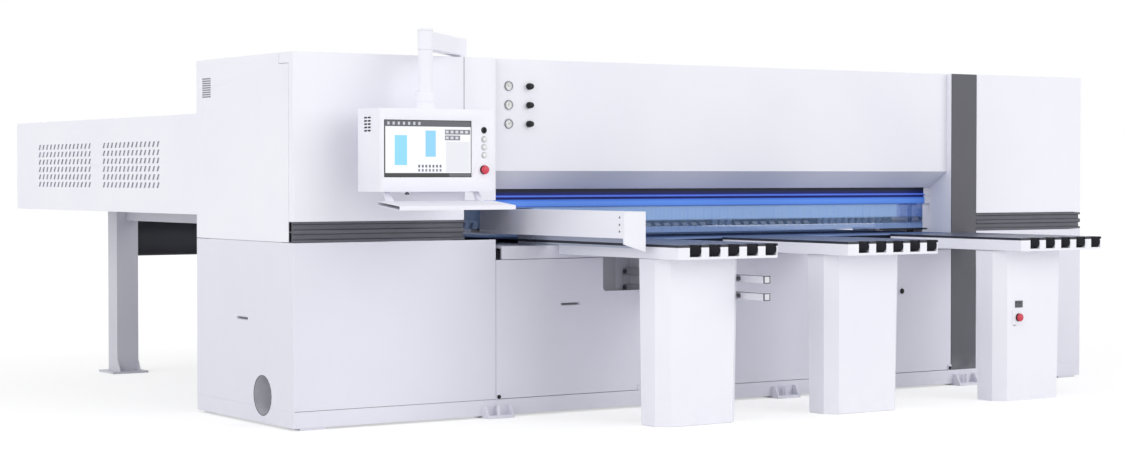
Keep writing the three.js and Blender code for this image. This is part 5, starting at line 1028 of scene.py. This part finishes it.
# Swing arm and drop pipe
# White tubular arm that swings on the cabinet's roof and carries the terminal: a square tube
# between two turned hubs, and a round pipe with a flange that is bolted to the housing.
ARM_START, ARM_END = np.array([1075.0, 150.0]), middle("drop_pipe")[:2]
ARM_LOW, ARM_HIGH, ARM_HALF = 1962.0, 2058.0, 32.0
ARM_CORNER, ARM_SHORT = 6.0, 24.0
HUB = [(1957.4, 0.5), (1957.4, 44), (1959, 46), (2052, 46), (2058, 40), (2058, 0.5)]
KNUCKLE = [(1962, 17), (1962, 39), (1964, 41), (2056, 41), (2058, 39), (2058, 17)]
PIPE = [(1656.3, 0.5), (1656.3, 52), (1658, 53.5), (1688, 53.5), (1689.5, 51.5), (1692, 51.5),
        (1693.5, 53.5), (1734, 53.5), (1742, 51), (1748, 45), (1750, 37.5), (1961.7, 37.5),
        (1961.7, 16), (2058.3, 16), (2058.3, 39), (2060, 41), (2066, 41), (2071, 34), (2071, 0.5)]
TUBE_STEPS = 56


def arm_mesh():
    """Box tube between the hubs' axes, its ends inside the hubs: section corners are carried
    along the line from one axis to the other."""
    along = (ARM_END - ARM_START) / np.linalg.norm(ARM_END - ARM_START)
    across = np.array([-along[1], along[0]])
    flat, low, high = ARM_HALF - ARM_CORNER, ARM_LOW + ARM_CORNER, ARM_HIGH - ARM_CORNER
    section = np.array([(flat, ARM_LOW), (ARM_HALF, low), (ARM_HALF, high), (flat, ARM_HIGH),
                        (-flat, ARM_HIGH), (-ARM_HALF, high), (-ARM_HALF, low), (-flat, ARM_LOW)])
    ends = np.stack([ARM_START, ARM_END - along * ARM_SHORT])
    rings = np.zeros((2, len(section), 3))
    rings[:, :, :2] = ends[:, None, :] + section[None, :, :1] * across
    rings[:, :, 2] = section[:, 1]
    return rings_mesh(rings)


arm = merged([arm_mesh(), turned_mesh("z", (*ARM_START, 0), HUB, TUBE_STEPS),
              turned_mesh("z", (*ARM_END, 0), KNUCKLE, TUBE_STEPS, loop=True)])
new_piece("terminal_arm", arm, "swing_arm", white_coat, replaces=["swing_arm"])
new_piece("terminal_pipe", turned_mesh("z", (*ARM_END, 0), PIPE, TUBE_STEPS), "terminal",
          white_coat, replaces=["drop_pipe"])


# Terminal housing
# Folded white sheet box with rounded edges, ventilation slots in its left side, a levelling
# knob below, and a tray that hangs on two bent arms with a bracket sheet behind them.
TRAY_ROUND, HOUSING_ROUND = 1.0, 1.5
SIDE_SLOT_X = (284.0, 290.0)
SIDE_SLOT_COLUMNS = ((-300.0, -270.0), (-261.0, -232.0))
SIDE_SLOT_ROWS = 1538 + 16.6 * np.arange(5)
SIDE_SLOT_TALL = 8.5
LEVELLER_X, LEVELLER_Y = 482.0, -330.0
LEVELLER = [(1216, 0.4), (1216, 10), (1218, 12), (1224, 12), (1226, 10), (1226, 6), (1231, 6),
            (1231, 0.4)]
TRAY_BRACKET = [(530, 850, -293, -290, 1146, 1231), (530, 850, -293, -282, 1146, 1149)]
dress(["keyboard_tray"], white_coat, TRAY_ROUND)
side_slots = boxes_mesh([(*SIDE_SLOT_X, *column, z, z + SIDE_SLOT_TALL) for column in SIDE_SLOT_COLUMNS
                         for z in SIDE_SLOT_ROWS])
fitted(carved("terminal_housing", "terminal_case", side_slots), "terminal",
       white_coat, HOUSING_ROUND, ["terminal_housing"])
new_piece("levelling_knob", turned_mesh("z", (LEVELLER_X, LEVELLER_Y, 0), LEVELLER, steps=28), "terminal",
          cup_grey)
# The bracket's greyer coat is partly painted shade under the housing.
new_piece("tray_bracket", boxes_mesh(TRAY_BRACKET), "terminal", pale_coat_and_painted_shade, bevel=0.5)


# Display
# Flat panel behind glass in the housing's window: a dark title bar with small icons, a light
# work area with two blue bars, tool blocks, a soft-key field and a black status bar.
DISPLAY_X, DISPLAY_Y, DISPLAY_Z = (310.2, 825.8), (-398.6, -396.0), (1305.2, 1596.8)
RIM_SIDE, RIM_END = 3.8, 2.8
WORK_AREA = (318, 822, 1327, 1564)
# Field's first and last x and z, and its shade
FIELDS = [((673, 816, 1333, 1488), (226, 228, 235)), ((372, 444, 1367, 1519), (134, 214, 246)),
          ((552, 613, 1410, 1544), (134, 206, 242)), ((667, 818, 1525, 1550), (112, 112, 124)),
          ((667, 758, 1495, 1520), (118, 118, 130)), ((312, 824, 1565, 1595), (74, 74, 86)),
          ((312, 692, 1306, 1325), (12, 12, 15)), ((692, 824, 1306, 1325), (84, 86, 94))]
# Row of blocks: first x, pitch, block's share of it, count, first and last z, and shade
BLOCK_ROWS = [((672, 29, 0.6, 5, 1531, 1545), (206, 208, 216)),
              ((672, 29, 0.6, 3, 1501, 1514), (206, 208, 216)),
              ((509, 21, 0.55, 7, 1355, 1369), (92, 92, 104)),
              ((509, 21, 0.55, 7, 1334, 1348), (130, 130, 142)),
              ((330, 30, 0.42, 7, 1572, 1587), (196, 198, 208))]


def screen_material():
    """Glass over a lit picture drawn in X and Z: each field is a box mask, rows of small blocks
    repeat by the remainder of the place over their pitch."""
    material, place = start_finish("lit_screen")
    across, up = axes(place, "XZ")
    x = across * 1000.0 + float(MACHINE_ORIGIN[0])
    z = up * 1000.0

    def field(x0, x1, z0, z1):
        return x.between(x0, x1) * z.between(z0, z1)

    def blocks(x0, pitch, share, count, z0, z1):
        return field(x0, x0 + pitch * count, z0, z1) * ((x - x0) % pitch < pitch * share)

    picture = field(*WORK_AREA).mix(paint(20, 20, 24), paint(244, 245, 251))
    layers = [(field(*edges), shade) for edges, shade in FIELDS]
    layers += [(blocks(*row), shade) for row, shade in BLOCK_ROWS]
    for mask, shade in layers:
        picture = mask.mix(picture, paint(*shade))
    return end_finish(material, place, {
        "Base Color": paint(10, 10, 12), "Roughness": 0.1 + noise(place, scale=9.0, detail=2.0) * 0.06,
        "Emission Color": picture, "Emission Strength": 1.0})


dress(["display"], screen_material())
(left, right), (bottom, top) = DISPLAY_X, DISPLAY_Z
rim = boxes_mesh([(left, left + RIM_SIDE, *DISPLAY_Y, bottom, top),
                  (right - RIM_SIDE, right, *DISPLAY_Y, bottom, top),
                  (left, right, *DISPLAY_Y, bottom, bottom + RIM_END),
                  (left, right, *DISPLAY_Y, top - RIM_END, top)])
new_piece("display_rim", rim, "terminal", black_plastic)


# Control buttons
# Moulded push buttons, a black selector and a red mushroom stop in round collars on the
# terminal's face, each on its own spring.
TERMINAL_FACE = -400.0
BUTTON = [(-11, 0.4), (-10.8, 7), (-10.2, 9.6), (-8.6, 11.4), (-6.5, 12), (-5, 12), (-5, 7), (16, 7),
          (16, 0.4)]
BUTTON_COLLAR = [(-3.2, 13.2), (-3.6, 14.4), (-2.6, 16.2), (0.1, 17), (0.1, 12.6), (-2.6, 12.6)]
BUTTON_STEPS = 40
GRIP_FRONT, GRIP_BACK, GRIP_HALF = -416.0, -409.0, 2.6
GRIP_FRONT_TALL, GRIP_BACK_TALL = 10.5, 11.0


def on_terminal(node):
    """Place on the terminal's face where a CAD control sits."""
    x, _, z = middle(node)
    return x, TERMINAL_FACE, z


grey_collar = moulded("grey_collar", (206, 207, 213), (194, 195, 202), roughness=0.3)
button_places = [on_terminal(f"push_button_{i}") for i in (1, 2, 3)]
for i, place in enumerate(button_places, 1):
    new_piece(f"button_cap_{i}", turned_mesh("y", place, BUTTON, BUTTON_STEPS), f"push_button_{i}",
              pale_plastic, replaces=[f"push_button_{i}"])
collars = merged([turned_mesh("y", place, BUTTON_COLLAR, BUTTON_STEPS, loop=True)
                  for place in button_places])
new_piece("button_collars", collars, "terminal", grey_collar)
selector_place, stop_place = on_terminal("selector_switch"), on_terminal("terminal_stop_button")
x, _, z = selector_place
grip = [(GRIP_FRONT, z - GRIP_FRONT_TALL), (GRIP_FRONT, z + GRIP_FRONT_TALL),
        (GRIP_BACK, z + GRIP_BACK_TALL), (GRIP_BACK, z - GRIP_BACK_TALL)]
selector = merged([turned_mesh("y", selector_place, BUTTON, BUTTON_STEPS),
                   swept_mesh("x", grip, (x - GRIP_HALF, x + GRIP_HALF))])
new_piece("selector_knob", selector, "selector", black_plastic,
          replaces=["selector_switch"])
dark_collars = merged([turned_mesh("y", selector_place, BUTTON_COLLAR, BUTTON_STEPS, loop=True),
                       turned_mesh("y", stop_place, STOP_COLLAR, loop=True)])
new_piece("dark_collars", dark_collars, "terminal", black_plastic)
new_piece("terminal_stop_mushroom", turned_mesh("y", stop_place, STOP_PROFILE), "terminal_stop",
          red_plastic, replaces=["terminal_stop_button"])
